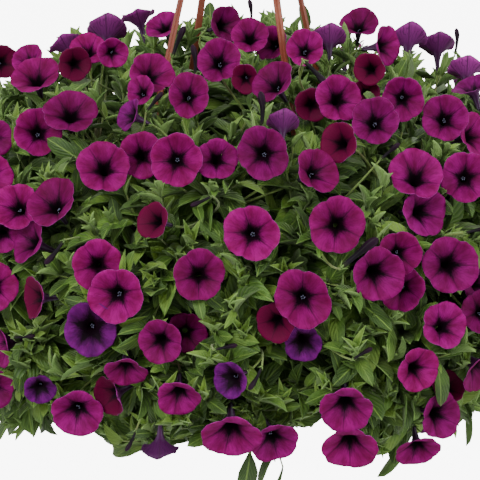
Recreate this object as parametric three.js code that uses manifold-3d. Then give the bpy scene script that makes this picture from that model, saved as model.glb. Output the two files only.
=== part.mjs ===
// A petunia hanging basket: a terracotta plastic pot on a four-legged plastic hanger, full of potting mix,
// with flowering and leafy stems that rise from the mix and arch over the rim into one wide ball of
// magenta trumpets. Millimetres, +Z up, front towards -Y. The origin is the flat seat inside the hook's
// crown, where the basket hangs.
//
// The plant is laid out in the rim frame, whose origin is the middle of the pot's rim, and then lowered
// into place.

import * as THREE from 'three';
import { mergeVertices } from 'three/addons/utils/BufferGeometryUtils.js';
import Module from 'manifold-3d';

const wasm = await Module();
wasm.setup();

// ---------------------------------------------------------------- driving dimensions

const HANGER_DROP = 545; // from the hook's seat down to the pot's rim

const POT = {
  rimRadius: 125, baseRadius: 88, height: 150, wall: 2.4, lip: 5, lipDepth: 9, floor: 3, sides: 24,
};
const FOOT = { width: 4, height: 5 }; // the ring under the pot's floor
const DRAIN = { count: 6, circle: 52, radius: 6, sides: 6 };
const SOIL = { surface: -16, crown: 7, gap: 0.5, holeGap: 0.5 };

const HOOK = { seatWidth: 8, bar: 7, thickness: 7, bend: 15, tip: 12, drop: 30, neck: 26, sunk: 3 };
const HUB = { radius: 14, height: 18, sides: 12, pocket: 12 };
const LEG = {
  count: 4, azimuth: 32, width: 7, thickness: 2.2, rib: 2.4, ribDepth: 3.2, topRadius: 8, gap: 0.35,
};
const LUG = { width: 17, depth: 11, height: 9 };
const BARB = { width: 13, depth: 5, height: 5 }; // the block on a leg's end that holds it under its lug

const BALL = { middle: -15, radius: 330, halfHeight: 230, power: 2.4 }; // the envelope of the open blooms
const LOWEST = 146; // degrees from the top, below which nothing grows
const SPRAYS = 28; // flowering stems, each with several blooms
const SHOOTS = 24; // leafy stems
const UNSEEN = 98; // places all round for blooms, of which those in the photograph's view are left out

const BLOOM = {
  length: 1.72, mouth: 0.3, flare: 0.27, deep: 0.85, notch: 0.92, // shares of the limb's radius
  wall: 1.4, base: 2.4, narrowest: 27, widest: 54,
};
const STEM = { root: 2.6, tip: 2.2, stalk: 1.2, node: 4.2, buried: 24 };
const TWIG = { spread: 14, root: 2.6, tip: 2.2, spacing: 19 };
const LEAF = { longest: 48, shortest: 34, slender: 0.2, keel: 1.6, sunk: 1.2, lean: 48 };
const GAP = 3.6; // kept between the centre lines and skins of neighbouring pieces when they are placed
const STEP = 5; // between the points at which they are tested

// The photograph: a 480-pixel square, taken from the front and a little above.
const PHOTO = { middle: 240, distance: 2200, elevation: 18, focal: 2123 };

// The blooms that the photograph shows, the nearest first where two overlap. Each row has the middle of
// the face in the photograph's pixels, its full width in pixels, and how far it turns to the right and
// tilts up, in degrees from facing the camera.
const SEEN = [
  [251, 233, 55, -3, 2], [337, 225, 56, 0, 0], [303, 299, 57, 0, -6], [199, 275, 51, 3, 0],
  [263, 153, 52, -3, 0], [176, 160, 52, 0, 0], [103, 166, 52, 0, 15], [70, 111, 50, 3, 27],
  [189, 94, 43, 5, 12], [219, 60, 44, 0, 14], [339, 98, 46, 8, 8], [375, 120, 47, 0, 14],
  [445, 117, 46, 0, 12], [416, 173, 54, 0, 28], [466, 177, 50, 0, 4], [451, 265, 56, 8, 0],
  [379, 275, 55, 20, -12], [115, 296, 55, -8, -8], [51, 200, 53, -20, 32], [77, 414, 49, 0, -24],
  [346, 411, 54, 0, -36], [231, 438, 58, 0, -42], [179, 399, 44, 0, -42], [160, 342, 44, -6, -10],
  [445, 325, 46, 15, 12], [419, 370, 44, 25, -8], [442, 415, 46, 34, -5], [227, 24, 38, 40, 8],
  [305, 47, 38, 0, 22], [359, 22, 38, 0, 38], [388, 45, 40, 52, 5], [250, 35, 38, 0, 25],
  [35, 74, 48, -8, 38], [107, 28, 40, 5, 98], [138, 15, 36, -45, 70], [153, 72, 46, 22, 28],
  [32, 298, 42, -58, 0], [97, 265, 50, 0, 0], [38, 131, 48, 5, 8], [319, 170, 46, 32, 15],
  [427, 212, 52, 36, 0], [338, 142, 40, -28, 8], [272, 80, 46, -28, 32], [403, 99, 43, 0, -6],
  [187, 333, 42, 8, -5], [90, 329, 53, 0, -6], [275, 323, 40, -15, -15], [303, 344, 40, 5, -25],
  [350, 450, 56, 0, -44], [275, 444, 48, 15, -32], [418, 452, 42, 5, -42], [15, 206, 48, -15, 15],
  [27, 240, 46, -48, 18], [152, 220, 38, -40, 10], [217, 159, 42, 5, 6], [141, 155, 46, 0, 5],
  [75, 64, 33, 10, -5], [27, 57, 34, -20, 35], [2, 62, 34, 15, 0], [64, 42, 34, -60, 60],
  [88, 48, 36, 0, 30], [113, 53, 30, 15, -10], [128, 114, 34, -58, 20], [140, 90, 30, -20, 10],
  [162, 24, 34, -20, 35], [270, 43, 36, -30, 12], [245, 79, 28, -5, -10], [312, 105, 34, 0, -5],
  [283, 121, 34, -10, 100], [329, 36, 34, 5, 100], [369, 69, 32, -18, 0], [366, 93, 28, 0, -5],
  [408, 36, 38, -10, 92], [437, 43, 36, 20, 92], [466, 67, 36, 15, 92], [471, 84, 38, -40, 60],
  [476, 135, 44, 45, 10], [400, 254, 44, 10, -5], [403, 290, 44, 0, -15], [484, 312, 44, 10, 5],
  [126, 373, 42, 3, -50], [108, 397, 44, -48, -18], [40, 390, 32, 5, -30], [160, 450, 36, 0, -82],
  [229, 380, 38, -35, -12], [449, 386, 34, 15, 20], [483, 372, 48, 50, -35], [-6, 390, 40, 10, -15],
  [-8, 287, 50, 0, 0], [-10, 176, 44, 10, 0], [-8, 137, 40, 10, 5], [2, 232, 40, 0, 0],
];

const COLOURS = {
  terracotta: { color: '#a34f30', roughness: 0.55 },
  soil: { color: '#2e221a', roughness: 1 },
  bloom: { color: '#9c1670', roughness: 0.6 },
  leaf: { color: '#5c8a38', roughness: 0.7 },
};

// ---------------------------------------------------------------- vectors and draws

const DEGREE = Math.PI / 180;
const GOLDEN = Math.PI * (3 - Math.sqrt(5));

const vec = (x, y, z) => new THREE.Vector3(x, y, z);
const up = vec(0, 0, 1);
const along = (from, direction, distance) => from.clone().addScaledVector(direction, distance);
const mix = (a, b, share) => a.clone().lerp(b, share);
const around = (azimuth, radius, z) => vec(radius * Math.sin(azimuth), -radius * Math.cos(azimuth), z);

// A seeded source of even draws from 0 to 1.
function seeded(seed) {
  let state = seed;
  return () => {
    state = (state * 1664525 + 1013904223) % 4294967296;
    return state / 4294967296;
  };
}

// The part of a vector that is square to a direction, as a unit.
function squared(vector, direction) {
  return along(vector, direction, -vector.dot(direction)).normalize();
}

// A direction square to the given one, as level as can be.
function levelSide(direction) {
  const guide = Math.abs(direction.z) > 0.95 ? vec(0, 1, 0) : up;
  return guide.clone().cross(direction).normalize();
}

// ---------------------------------------------------------------- the ball and the camera

// Below 1 inside the ball of blooms, 1 on it, and above 1 outside.
function ballLevel(p) {
  const across = Math.hypot(p.x, p.y) / BALL.radius;
  const upright = Math.abs(p.z - BALL.middle) / BALL.halfHeight;
  return across ** BALL.power + upright ** BALL.power;
}

// The point of the ball in a direction given by its angle from the top and its azimuth.
function ballPoint(polar, azimuth) {
  const level = Math.sin(polar) ** BALL.power + Math.abs(Math.cos(polar)) ** BALL.power;
  const reach = level ** (-1 / BALL.power);
  const z = BALL.middle + reach * Math.cos(polar) * BALL.halfHeight;
  return around(azimuth, reach * Math.sin(polar) * BALL.radius, z);
}

function ballNormal(p) {
  const slope = (axis) => ballLevel(along(p, axis, 0.5)) - ballLevel(along(p, axis, -0.5));
  return vec(slope(vec(1, 0, 0)), slope(vec(0, 1, 0)), slope(up)).normalize();
}

const tilt = PHOTO.elevation * DEGREE;
const camera = { back: vec(0, -Math.cos(tilt), Math.sin(tilt)), up: vec(0, Math.sin(tilt), Math.cos(tilt)) };
camera.place = along(vec(0, 0, BALL.middle), camera.back, PHOTO.distance);

// The way that the camera looks through a pixel.
function rayThrough(px, py) {
  return vec((px - PHOTO.middle) / PHOTO.focal, 0, 0)
    .addScaledVector(camera.up, (PHOTO.middle - py) / PHOTO.focal)
    .sub(camera.back)
    .normalize();
}

// How far along a ray it first meets the ball, or else passes nearest to the ball's middle.
function meetBall(ray) {
  const steps = 200;
  const levelAt = (distance) => ballLevel(along(camera.place, ray, distance));
  let nearest = PHOTO.distance;
  for (let i = 0; i <= steps; i++) {
    const distance = PHOTO.distance + BALL.radius * ((2 * i) / steps - 1);
    if (levelAt(distance) <= 1) return distance;
    if (levelAt(distance) < levelAt(nearest)) nearest = distance;
  }
  return nearest;
}

// Where a point's sideways place falls in the photograph.
function pixelAcross(p) {
  const depth = camera.place.clone().sub(p).dot(camera.back);
  return PHOTO.middle + (PHOTO.focal * p.x) / depth;
}

// The direction of a face that turns to the right and tilts up from the camera.
function facing(turn, rise) {
  return camera.back.clone().multiplyScalar(Math.cos(rise * DEGREE) * Math.cos(turn * DEGREE))
    .addScaledVector(vec(1, 0, 0), Math.cos(rise * DEGREE) * Math.sin(turn * DEGREE))
    .addScaledVector(camera.up, Math.sin(rise * DEGREE));
}

// ---------------------------------------------------------------- pieces that keep clear of one another

// A placed piece has its owner, its kind, points spread over it and a rule for how far a point is from it.
const placed = [];

function piece(kind, owner, points, distance) {
  const middle = points.reduce((sum, p) => sum.add(p), vec(0, 0, 0)).divideScalar(points.length);
  const reach = Math.max(...points.map((p) => p.distanceTo(middle)));
  return { kind, owner, points, distance, middle, reach };
}

// Points no further apart than the step, from one end of a line to the other.
function pointsBetween(from, to) {
  const count = Math.ceil(from.distanceTo(to) / STEP);
  return Array.from({ length: count + 1 }, (_, k) => mix(from, to, k / count));
}

function rod(kind, owner, from, to, radius) {
  const run = to.clone().sub(from);
  const distance = (p) => {
    const share = THREE.MathUtils.clamp(p.clone().sub(from).dot(run) / run.lengthSq(), 0, 1);
    return along(from, run, share).distanceTo(p) - radius;
  };
  return piece(kind, owner, pointsBetween(from, to), distance);
}

function rods(kind, owner, path, radius) {
  return path.slice(1).map((to, i) => rod(kind, owner, path[i], to, radius));
}

// The limb of a bloom, as the cone from its mouth out to its rim.
function limb(owner, face, direction, radius) {
  const run = [-(1 - BLOOM.mouth) * radius, -BLOOM.flare * radius];
  const distance = (p) => {
    const offset = p.clone().sub(face);
    const height = offset.dot(direction);
    const out = Math.sqrt(Math.max(0, offset.lengthSq() - height * height)) - radius;
    const share = THREE.MathUtils.clamp((out * run[0] + height * run[1]) / (run[0] ** 2 + run[1] ** 2), 0, 1);
    return Math.hypot(out - share * run[0], height - share * run[1]);
  };
  const points = [[0, 24], [0.35, 15], [0.7, 8]].flatMap(([share, count]) => {
    const middle = along(face, direction, share * run[1]);
    return ring(middle, direction, levelSide(direction), radius + share * run[0], count);
  });
  return piece('bloom', owner, points, distance);
}

// Pieces of one owner are fused, so its stems may touch each other and its leaves, but no limb may be
// crossed.
function mayTouch(a, b) {
  const kinds = [a.kind, b.kind];
  return a.owner === b.owner && !kinds.includes('bloom') && kinds.includes('stem');
}

function isClear(candidate) {
  return placed.every((other) => {
    if (other.middle.distanceTo(candidate.middle) > other.reach + candidate.reach + 3 * GAP) return true;
    if (mayTouch(other, candidate)) return true;
    const apart = (one, two) => one.points.every((p) => two.distance(p) > GAP);
    return apart(candidate, other) && apart(other, candidate);
  });
}

// The room that the pot, its lip and its lugs take up.
function inPot(p) {
  const side = POT.rimRadius + 20 + (p.z * (POT.rimRadius - POT.baseRadius)) / POT.height;
  return p.z < 6 && p.z > -POT.height - 10 && Math.hypot(p.x, p.y) < side;
}

function fits(pieces) {
  return pieces.every((one) => !one.points.some(inPot) && isClear(one));
}

// ---------------------------------------------------------------- solids from rings of points

// A ring of points round a middle, square to the direction. Its radius may be a rule of the point's number.
function ring(middle, direction, side, radius, sides) {
  const other = direction.clone().cross(side);
  return Array.from({ length: sides }, (_, k) => {
    const angle = (2 * Math.PI * k) / sides;
    const r = typeof radius === 'function' ? radius(k) : radius;
    return along(along(middle, side, r * Math.cos(angle)), other, r * Math.sin(angle));
  });
}

// A solid skinned over a list of rings that all go round the same way. Neighbouring rings may have
// different numbers of points, a ring of one point closes an end, and any other end gets a flat cap.
function skin(rings) {
  const points = [];
  const faces = [];
  const starts = rings.map((one) => points.push(...one) - one.length);
  for (let i = 1; i < rings.length; i++) {
    const [n, m] = [rings[i - 1].length, rings[i].length];
    const low = (k) => starts[i - 1] + (k % n);
    const high = (k) => starts[i] + (k % m);
    const [lows, highs] = [n > 1 ? n : 0, m > 1 ? m : 0];
    let [a, b] = [0, 0];
    while (a < lows || b < highs) {
      if (b >= highs || (a < lows && (a + 1) / n <= (b + 1) / m)) {
        faces.push([low(a), low(a + 1), high(b)]);
        a++;
      } else {
        faces.push([low(a), high(b + 1), high(b)]);
        b++;
      }
    }
  }
  const last = starts.at(-1);
  for (let k = 1; k < rings[0].length - 1; k++) faces.push([0, k + 1, k]);
  for (let k = 1; k < rings.at(-1).length - 1; k++) faces.push([last, last + k, last + k + 1]);
  const geometry = new THREE.BufferGeometry().setFromPoints(points);
  geometry.setIndex(faces.flat());
  return toSolid(geometry);
}

// The rings of a stem along a line of points, tapering from one radius to the other without a twist. The
// side that the last ring starts from may be given.
function stemRings(path, from, to, lastSide) {
  const last = path.length - 1;
  const next = (i) => path[Math.min(i + 1, last)].clone();
  const directions = path.map((_, i) => next(i).sub(path[Math.max(i - 1, 0)]).normalize());
  const rings = [];
  let side = lastSide ?? levelSide(directions[last]);
  for (let i = last; i >= 0; i--) {
    side = squared(side, directions[i]);
    rings.unshift(ring(path[i], directions[i], side, from + ((to - from) * i) / last, 3));
  }
  return rings;
}

const stemSolid = (path, from, to) => skin(stemRings(path, from, to));

// A three.js geometry as a solid that can be cut and joined, and a solid as a geometry.
function toSolid(geometry) {
  const bare = geometry.clone();
  bare.deleteAttribute('normal');
  bare.deleteAttribute('uv');
  const merged = mergeVertices(bare, 1e-4);
  return new wasm.Manifold(new wasm.Mesh({
    numProp: 3,
    vertProperties: new Float32Array(merged.attributes.position.array),
    triVerts: new Uint32Array(merged.index.array),
  }));
}

function toGeometry(made) {
  const mesh = made.getMesh();
  const geometry = new THREE.BufferGeometry();
  geometry.setAttribute('position', new THREE.BufferAttribute(new Float32Array(mesh.vertProperties), 3));
  geometry.setIndex(new THREE.BufferAttribute(new Uint32Array(mesh.triVerts), 1));
  const flat = geometry.toNonIndexed();
  flat.computeVertexNormals();
  return flat;
}

const joined = (solids) => wasm.Manifold.union(solids);

const knot = ({ x, y, z }) => toSolid(new THREE.OctahedronGeometry(STEM.node).translate(x, y, z));

// ---------------------------------------------------------------- the hanger's legs

// Each leg runs in a straight line from under its lug to its pocket in the hub.
const HUB_BOTTOM = HANGER_DROP - HOOK.bend - HOOK.drop - HOOK.neck - HUB.height;
const legLines = Array.from({ length: LEG.count }, (_, k) => {
  const azimuth = (LEG.azimuth + (360 / LEG.count) * k) * DEGREE;
  const lug = around(azimuth, POT.rimRadius + POT.lip + LUG.depth / 2, -LUG.height / 2);
  const hub = around(azimuth, LEG.topRadius, HUB_BOTTOM + HUB.pocket);
  const direction = hub.clone().sub(lug).normalize();
  return { azimuth, direction, foot: along(lug, direction, -LUG.height - 2), hub };
});
for (const { foot, hub } of legLines) placed.push(rod('stem', 'hanger', foot, hub, 0.7 * LEG.width));

// ---------------------------------------------------------------- the routes of stems

// A stem rises from the mix, passes over the rim if it is to hang, and ends at a point inside the ball.
function stemRoute(polar, azimuth, end) {
  const share = polar / (LOWEST * DEGREE);
  const hanging = THREE.MathUtils.clamp((share - 0.3) / 0.25, 0, 1);
  const root = around(azimuth, 8 + 92 * share, SOIL.surface + SOIL.crown + 2);
  const buried = vec(root.x, root.y, SOIL.surface - STEM.buried);
  const upright = mix(along(root, up, 44), end, 0.3);
  const crest = mix(upright, around(azimuth, POT.rimRadius + 20, 28), hanging);
  const shoulder = mix(crest, end, 0.45).add(around(azimuth, 28 * hanging, 8 * hanging));
  return [buried, root, crest, shoulder, end];
}

// Seeds spread evenly over the ball, from the top down to where the lowest stems hang.
function spread(count, start) {
  const lowest = Math.cos(LOWEST * DEGREE);
  return Array.from({ length: count }, (_, k) => {
    const polar = Math.acos(1 - ((k + 0.5) / count) * (1 - lowest));
    return { polar, azimuth: start + k * GOLDEN };
  });
}

// The first route, turned as little as it takes about the pot's axis, that is clear of all that is placed.
function clearRoute(owner, polar, azimuth, endOf) {
  for (let step = 0; step < 30; step++) {
    const turned = azimuth + (step % 2 ? -1 : 1) * Math.ceil(step / 2) * 2.5 * DEGREE;
    const tip = ballPoint(polar, turned);
    const route = stemRoute(polar, turned, endOf(tip));
    const pieces = rods('stem', owner, route, STEM.root);
    if (!pieces.slice(2).some((one) => one.points.some(inPot)) && pieces.every(isClear)) {
      placed.push(...pieces);
      return { owner, tip, route, polar, azimuth: turned };
    }
  }
  throw new Error(`no room for ${owner}`);
}

// ---------------------------------------------------------------- blooms on their sprays

const sprays = spread(SPRAYS, 0.4).map(({ polar, azimuth }, k) => {
  const depth = 104 - 18 * Math.sin(polar);
  const endOf = (tip) => along(tip, ballNormal(tip), -depth);
  return { ...clearRoute(`flower_stem_${k + 1}`, polar, azimuth, endOf), blooms: [] };
});

function nearestSpray(place) {
  return sprays.reduce((best, one) => (one.tip.distanceTo(place) < best.tip.distanceTo(place) ? one : best));
}

// Sets a bloom where it is wanted, or as little further back and as little straighter as it takes to fit.
function setBloom(wanted, direction, radius, back) {
  const outward = ballNormal(wanted);
  for (const straighter of [0, 0.3, 0.6]) {
    for (let step = 0; step < 14; step++) {
      const face = along(wanted, back, STEP * step);
      const way = mix(direction, outward, straighter).normalize();
      const spray = nearestSpray(face);
      const base = along(face, way, -BLOOM.length * radius);
      const stalk = rod('stem', spray.owner, spray.route.at(-1), base, STEM.stalk);
      const [low, high] = [along(base, way, STEP), along(face, way, -0.5 * radius)];
      const tube = rod('bloom', spray.owner, low, high, 0.15 * radius);
      const pieces = [limb(spray.owner, face, way, radius), tube, stalk];
      if (fits(pieces)) {
        placed.push(...pieces);
        spray.blooms.push({ face, way, radius, base });
        return;
      }
    }
  }
}

for (const [px, py, width, turn, rise] of SEEN) {
  const ray = rayThrough(px, py);
  const distance = meetBall(ray);
  const across = THREE.MathUtils.clamp((width * distance) / PHOTO.focal, BLOOM.narrowest, BLOOM.widest);
  setBloom(along(camera.place, ray, distance), facing(turn, rise), across / 2, ray);
}

// The rest of the ball, which the photograph doesn't show, carries blooms by an even spread.
const draw = seeded(7);
for (const { polar, azimuth } of spread(UNSEEN, 1.1)) {
  const place = ballPoint(polar + 0.08 * (draw() - 0.5), azimuth + 0.12 * (draw() - 0.5));
  const outward = ballNormal(place);
  const radius = 21 + 5 * draw();
  const lean = vec(draw() - 0.5, draw() - 0.5, 0.45 * draw());
  const sunk = 8 * draw();
  const beside = Math.abs(pixelAcross(place) - PHOTO.middle) - PHOTO.middle;
  if (outward.dot(camera.back) > -0.1 && beside < 16) continue;
  const way = along(outward, lean, 0.9).normalize();
  setBloom(along(place, outward, -sunk), way, radius, outward.clone().negate());
}

// A bloom and its stalk: the stalk and tube rise from the spray's node, flare into the lobed limb, and
// turn in at the rim to the mouth and down the throat.
function bloomSolid(start, { face, way, radius, base }) {
  const side = levelSide(way);
  const at = (height) => along(face, way, height * radius);
  const lobed = (k) => (k % 2 ? BLOOM.notch : 1) * radius;
  return skin([
    ...stemRings([start, base], STEM.stalk, BLOOM.base, side),
    ring(along(at(-BLOOM.flare), way, -BLOOM.wall), way, side, BLOOM.mouth * radius, 5),
    ring(face, way, side, lobed, 10),
    ring(at(-BLOOM.flare), way, side, BLOOM.mouth * radius - 1, 5),
    [at(-BLOOM.deep)],
  ]);
}

function spraySolid({ route, blooms }) {
  const node = route.at(-1);
  const trunk = stemSolid(route, STEM.root, STEM.tip);
  return joined([trunk, knot(node), ...blooms.map((bloom) => bloomSolid(node, bloom))]);
}

// ---------------------------------------------------------------- leafy stems

// A leaf is a keeled blade, two edges and a midrib, from its root within the stem to its tip.
const OUTLINE = [[0.34, 1], [0.7, 0.74]]; // shares of the length, and of the half width there

function leafWidth(share) {
  const stations = [[0, 0.08], ...OUTLINE, [1, 0]];
  const next = stations.findIndex(([at]) => at >= share);
  const [[from, low], [to, high]] = [stations[Math.max(next - 1, 0)], stations[next]];
  return to > from ? low + ((high - low) * (share - from)) / (to - from) : low;
}

function leafPiece(owner, { base, way, side, length }) {
  const normal = way.clone().cross(side);
  const halfWidth = LEAF.slender * length;
  const distance = (p) => {
    const offset = p.clone().sub(base);
    const forward = offset.dot(way);
    const half = halfWidth * leafWidth(THREE.MathUtils.clamp(forward / length, 0, 1));
    const past = Math.max(0, -forward, forward - length);
    return Math.hypot(past, Math.max(0, Math.abs(offset.dot(side)) - half), offset.dot(normal));
  };
  const points = [0.2, 0.34, 0.45, 0.58, 0.7, 0.85, 1].flatMap((share) => [-1, 0, 1].map((edge) => (
    along(along(base, way, share * length), side, edge * halfWidth * leafWidth(share)))));
  return piece('leaf', owner, points, distance);
}

function leafSolid({ base, way, side, length }) {
  const normal = way.clone().cross(side);
  const halfWidth = LEAF.slender * length;
  const station = ([share, width]) => {
    const middle = along(base, way, share * length);
    const half = width * halfWidth;
    const edge = (sign) => along(along(middle, side, sign * half), normal, 0.16 * half);
    return [edge(1), edge(-1), along(middle, normal, -LEAF.keel)];
  };
  return skin([[along(base, way, -LEAF.sunk)], ...OUTLINE.map(station), [along(base, way, length)]]);
}

const chance = seeded(11);

// Leaves go round a twig by the golden angle. One that would touch something is turned on, or left out.
function leavesOn(owner, from, to, count) {
  const axis = to.clone().sub(from).normalize();
  const [side, other] = [levelSide(axis), axis.clone().cross(levelSide(axis))];
  const found = [];
  for (let k = 0; k < count; k++) {
    const base = along(to, axis, -1 - TWIG.spacing * k);
    const length = LEAF.shortest + (LEAF.longest - LEAF.shortest) * chance();
    const lean = (LEAF.lean + 16 * (k - 1)) * DEGREE;
    const start = 2 * Math.PI * chance();
    for (let step = 0; step < 8; step++) {
      const angle = start + k * GOLDEN + (step * Math.PI) / 4;
      const out = side.clone().multiplyScalar(Math.cos(angle)).addScaledVector(other, Math.sin(angle));
      const way = axis.clone().multiplyScalar(Math.cos(lean)).addScaledVector(out, Math.sin(lean));
      const leaf = { base, way, side: out.clone().cross(axis).normalize(), length };
      const made = leafPiece(owner, leaf);
      if (!fits([made])) continue;
      placed.push(made);
      found.push(leaf);
      break;
    }
  }
  return found;
}

const shoots = spread(SHOOTS, 2.3).map(({ polar, azimuth }, k) => {
  const owner = `leafy_stem_${k + 1}`;
  const shoot = clearRoute(owner, polar, azimuth, (tip) => along(tip, ballNormal(tip), -22));
  const [shoulder, end] = shoot.route.slice(-2);
  const start = mix(shoulder, end, 0.15);
  const span = TWIG.spread * DEGREE;
  for (let step = 0; step < 12; step++) {
    const angle = 0.3 * Math.PI * k + (step * Math.PI) / 6;
    const turned = (span * Math.sin(angle)) / Math.max(0.4, Math.sin(shoot.polar));
    const tip = ballPoint(shoot.polar + span * Math.cos(angle), shoot.azimuth + turned);
    const twig = [start, along(tip, ballNormal(tip), -24)];
    const made = rods('stem', owner, twig, TWIG.root);
    if (!fits(made)) continue;
    placed.push(...made);
    return { ...shoot, twigs: [twig] };
  }
  return { ...shoot, twigs: [] };
});

for (const shoot of shoots) {
  const axes = [shoot.route.slice(-2), ...shoot.twigs];
  shoot.leaves = axes.flatMap(([from, to], k) => leavesOn(shoot.owner, from, to, k === 0 ? 3 : 2));
}

function shootSolid({ route, twigs, leaves }) {
  const stems = twigs.map((twig) => stemSolid(twig, TWIG.root, TWIG.tip));
  return joined([stemSolid(route, STEM.root, TWIG.tip), ...stems, ...leaves.map(leafSolid)]);
}

// ---------------------------------------------------------------- the pot and its mix

const turnedSolid = (profile, sides) => {
  const points = profile.map(([radius, z]) => new THREE.Vector2(radius, z));
  return toSolid(new THREE.LatheGeometry(points, sides).rotateX(Math.PI / 2));
};

function potSolid() {
  const { rimRadius: rim, baseRadius: base, height, wall, lip, lipDepth, floor } = POT;
  const bottom = -height;
  return turnedSolid([
    [0, bottom + FOOT.height], [base - FOOT.width - 2, bottom + FOOT.height], [base - FOOT.width, bottom],
    [base, bottom], [rim - 2, -lipDepth - 3], [rim + lip, -lipDepth], [rim + lip, -1.5], [rim + lip - 1.5, 0],
    [rim - wall + 1, 0], [rim - wall, -1.5], [base - wall, bottom + FOOT.height + floor],
    [0, bottom + FOOT.height + floor],
  ], POT.sides);
}

// A cylinder that stands on a point, with its axis along Z.
function peg(x, y, z, radius, height, sides) {
  const geometry = new THREE.CylinderGeometry(radius, radius, height, sides);
  return toSolid(geometry.rotateX(Math.PI / 2).translate(x, y, z + height / 2));
}

const drains = Array.from({ length: DRAIN.count }, (_, k) => {
  const place = around((2 * Math.PI * k) / DRAIN.count, DRAIN.circle, -POT.height);
  return peg(place.x, place.y, place.z, DRAIN.radius, 20, DRAIN.sides);
});

// Puts a geometry into a leg's own frame: X across the leg, Y in towards the pot's axis, and Z up from its
// foot.
function onLeg(geometry, { foot, direction, azimuth }) {
  const across = vec(Math.cos(azimuth), Math.sin(azimuth), 0);
  const inward = direction.clone().cross(across);
  const place = new THREE.Matrix4().makeBasis(across, inward, direction).setPosition(foot);
  return toSolid(geometry.applyMatrix4(place));
}

// A leg is a flat strap with a rib down its outer side. Its slots are cut by the same section, grown by a
// gap.
function legStrap(line, grown) {
  const [half, rib] = [LEG.width / 2 + grown, LEG.rib / 2 + grown];
  const [inner, face, crest] = [LEG.thickness / 2 + grown, -LEG.thickness / 2 - grown, -LEG.ribDepth - grown];
  const section = [[half, inner], [-half, inner], [-half, face], [-rib, face], [-rib, crest], [rib, crest],
    [rib, face], [half, face]];
  const shape = new THREE.Shape(section.map(([x, y]) => new THREE.Vector2(x, y)));
  const depth = line.foot.distanceTo(line.hub) + grown;
  return onLeg(new THREE.ExtrudeGeometry(shape, { depth, bevelEnabled: false }), line);
}

function legSolid(line) {
  const barb = new THREE.BoxGeometry(BARB.width, BARB.depth, BARB.height);
  return joined([legStrap(line, 0), onLeg(barb.translate(0, -1, BARB.height / 2 - 0.5), line)]);
}

const slots = legLines.map((line) => legStrap(line, LEG.gap));

const lugs = legLines.map(({ azimuth }) => {
  const place = around(azimuth, POT.rimRadius + POT.lip + LUG.depth / 2 - 2, -LUG.height / 2);
  const block = new THREE.BoxGeometry(LUG.width, LUG.depth + 4, LUG.height).rotateZ(azimuth);
  return toSolid(block.translate(place.x, place.y, place.z));
});

const pot = joined([potSolid(), ...lugs]).subtract(joined([...drains, ...slots]));

function soilSolid() {
  const inner = (z) => {
    const low = -POT.height + FOOT.height + POT.floor;
    const share = (z - low) / -low;
    return POT.baseRadius - POT.wall + share * (POT.rimRadius - POT.baseRadius) - 2 * SOIL.gap;
  };
  const low = -POT.height + FOOT.height + POT.floor + SOIL.gap;
  const { surface, crown } = SOIL;
  const edge = inner(surface);
  return turnedSolid([
    [0, low], [inner(low), low], [edge, surface], [0.62 * edge, surface + 0.7 * crown], [0, surface + crown],
  ], POT.sides);
}

// Every stem stands in a plain hole of its own section.
const holes = [...sprays, ...shoots].map(({ route }) => {
  const wide = STEM.root + 2 * SOIL.holeGap;
  const [low, high] = stemRings(route, wide, wide);
  return skin([low.map((p) => along(p, up, -SOIL.holeGap)), high]);
});

// ---------------------------------------------------------------- the hook

// The hook's side view: round the bend from its tip, over the crown, and down to the neck above the hub.
// The inside of the crown is cut flat, and that seat is at the origin.
function hookSolid() {
  const flat = Math.asin(HOOK.seatWidth / 2 / HOOK.bend);
  const centre = HANGER_DROP - HOOK.bend * Math.cos(flat);
  const outer = HOOK.bend + HOOK.bar;
  const at = (radius, angle) => (
    new THREE.Vector2(radius * Math.cos(angle), centre + radius * Math.sin(angle)));
  const arc = (radius, from, to, count) => (
    Array.from({ length: count + 1 }, (_, k) => at(radius, from + ((to - from) * k) / count)));
  const middle = outer - HOOK.bar / 2;
  const low = centre - HOOK.drop;
  const neck = HUB_BOTTOM + HUB.height - HOOK.sunk;
  const half = HOOK.bar / 2;
  const shape = new THREE.Shape([
    ...arc(outer, -0.3, Math.PI, 12),
    new THREE.Vector2(-outer, centre - HOOK.tip + 2), new THREE.Vector2(-middle, centre - HOOK.tip - 2),
    new THREE.Vector2(-HOOK.bend, centre - HOOK.tip + 1),
    ...arc(HOOK.bend, Math.PI, Math.PI / 2 + flat, 4), ...arc(HOOK.bend, Math.PI / 2 - flat, -0.3, 5),
    new THREE.Vector2(-half, low), new THREE.Vector2(-half, neck), new THREE.Vector2(half, neck),
    new THREE.Vector2(half, low),
  ]);
  const geometry = new THREE.ExtrudeGeometry(shape, { depth: HOOK.thickness, bevelEnabled: false });
  return toSolid(geometry.translate(0, 0, -HOOK.thickness / 2).rotateX(Math.PI / 2));
}

const hub = peg(0, 0, HUB_BOTTOM, HUB.radius, HUB.height, HUB.sides);
const hook = joined([hookSolid(), hub]).subtract(joined(slots));

// ---------------------------------------------------------------- the basket

const basket = new THREE.Group();
basket.name = 'petunia_hanging_basket';

function add(name, made, look) {
  const mesh = new THREE.Mesh(toGeometry(made), new THREE.MeshStandardMaterial(look));
  mesh.geometry.translate(0, 0, -HANGER_DROP);
  mesh.name = name;
  basket.add(mesh);
}

add('pot', pot, COLOURS.terracotta);
add('soil', soilSolid().subtract(joined(holes)), COLOURS.soil);
add('hanger_hook', hook, COLOURS.terracotta);
legLines.forEach((line, k) => add(`hanger_leg_${k + 1}`, legSolid(line), COLOURS.terracotta));
for (const spray of sprays) add(spray.owner, spraySolid(spray), COLOURS.bloom);
for (const shoot of shoots) add(shoot.owner, shootSolid(shoot), COLOURS.leaf);

export default basket;
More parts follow.
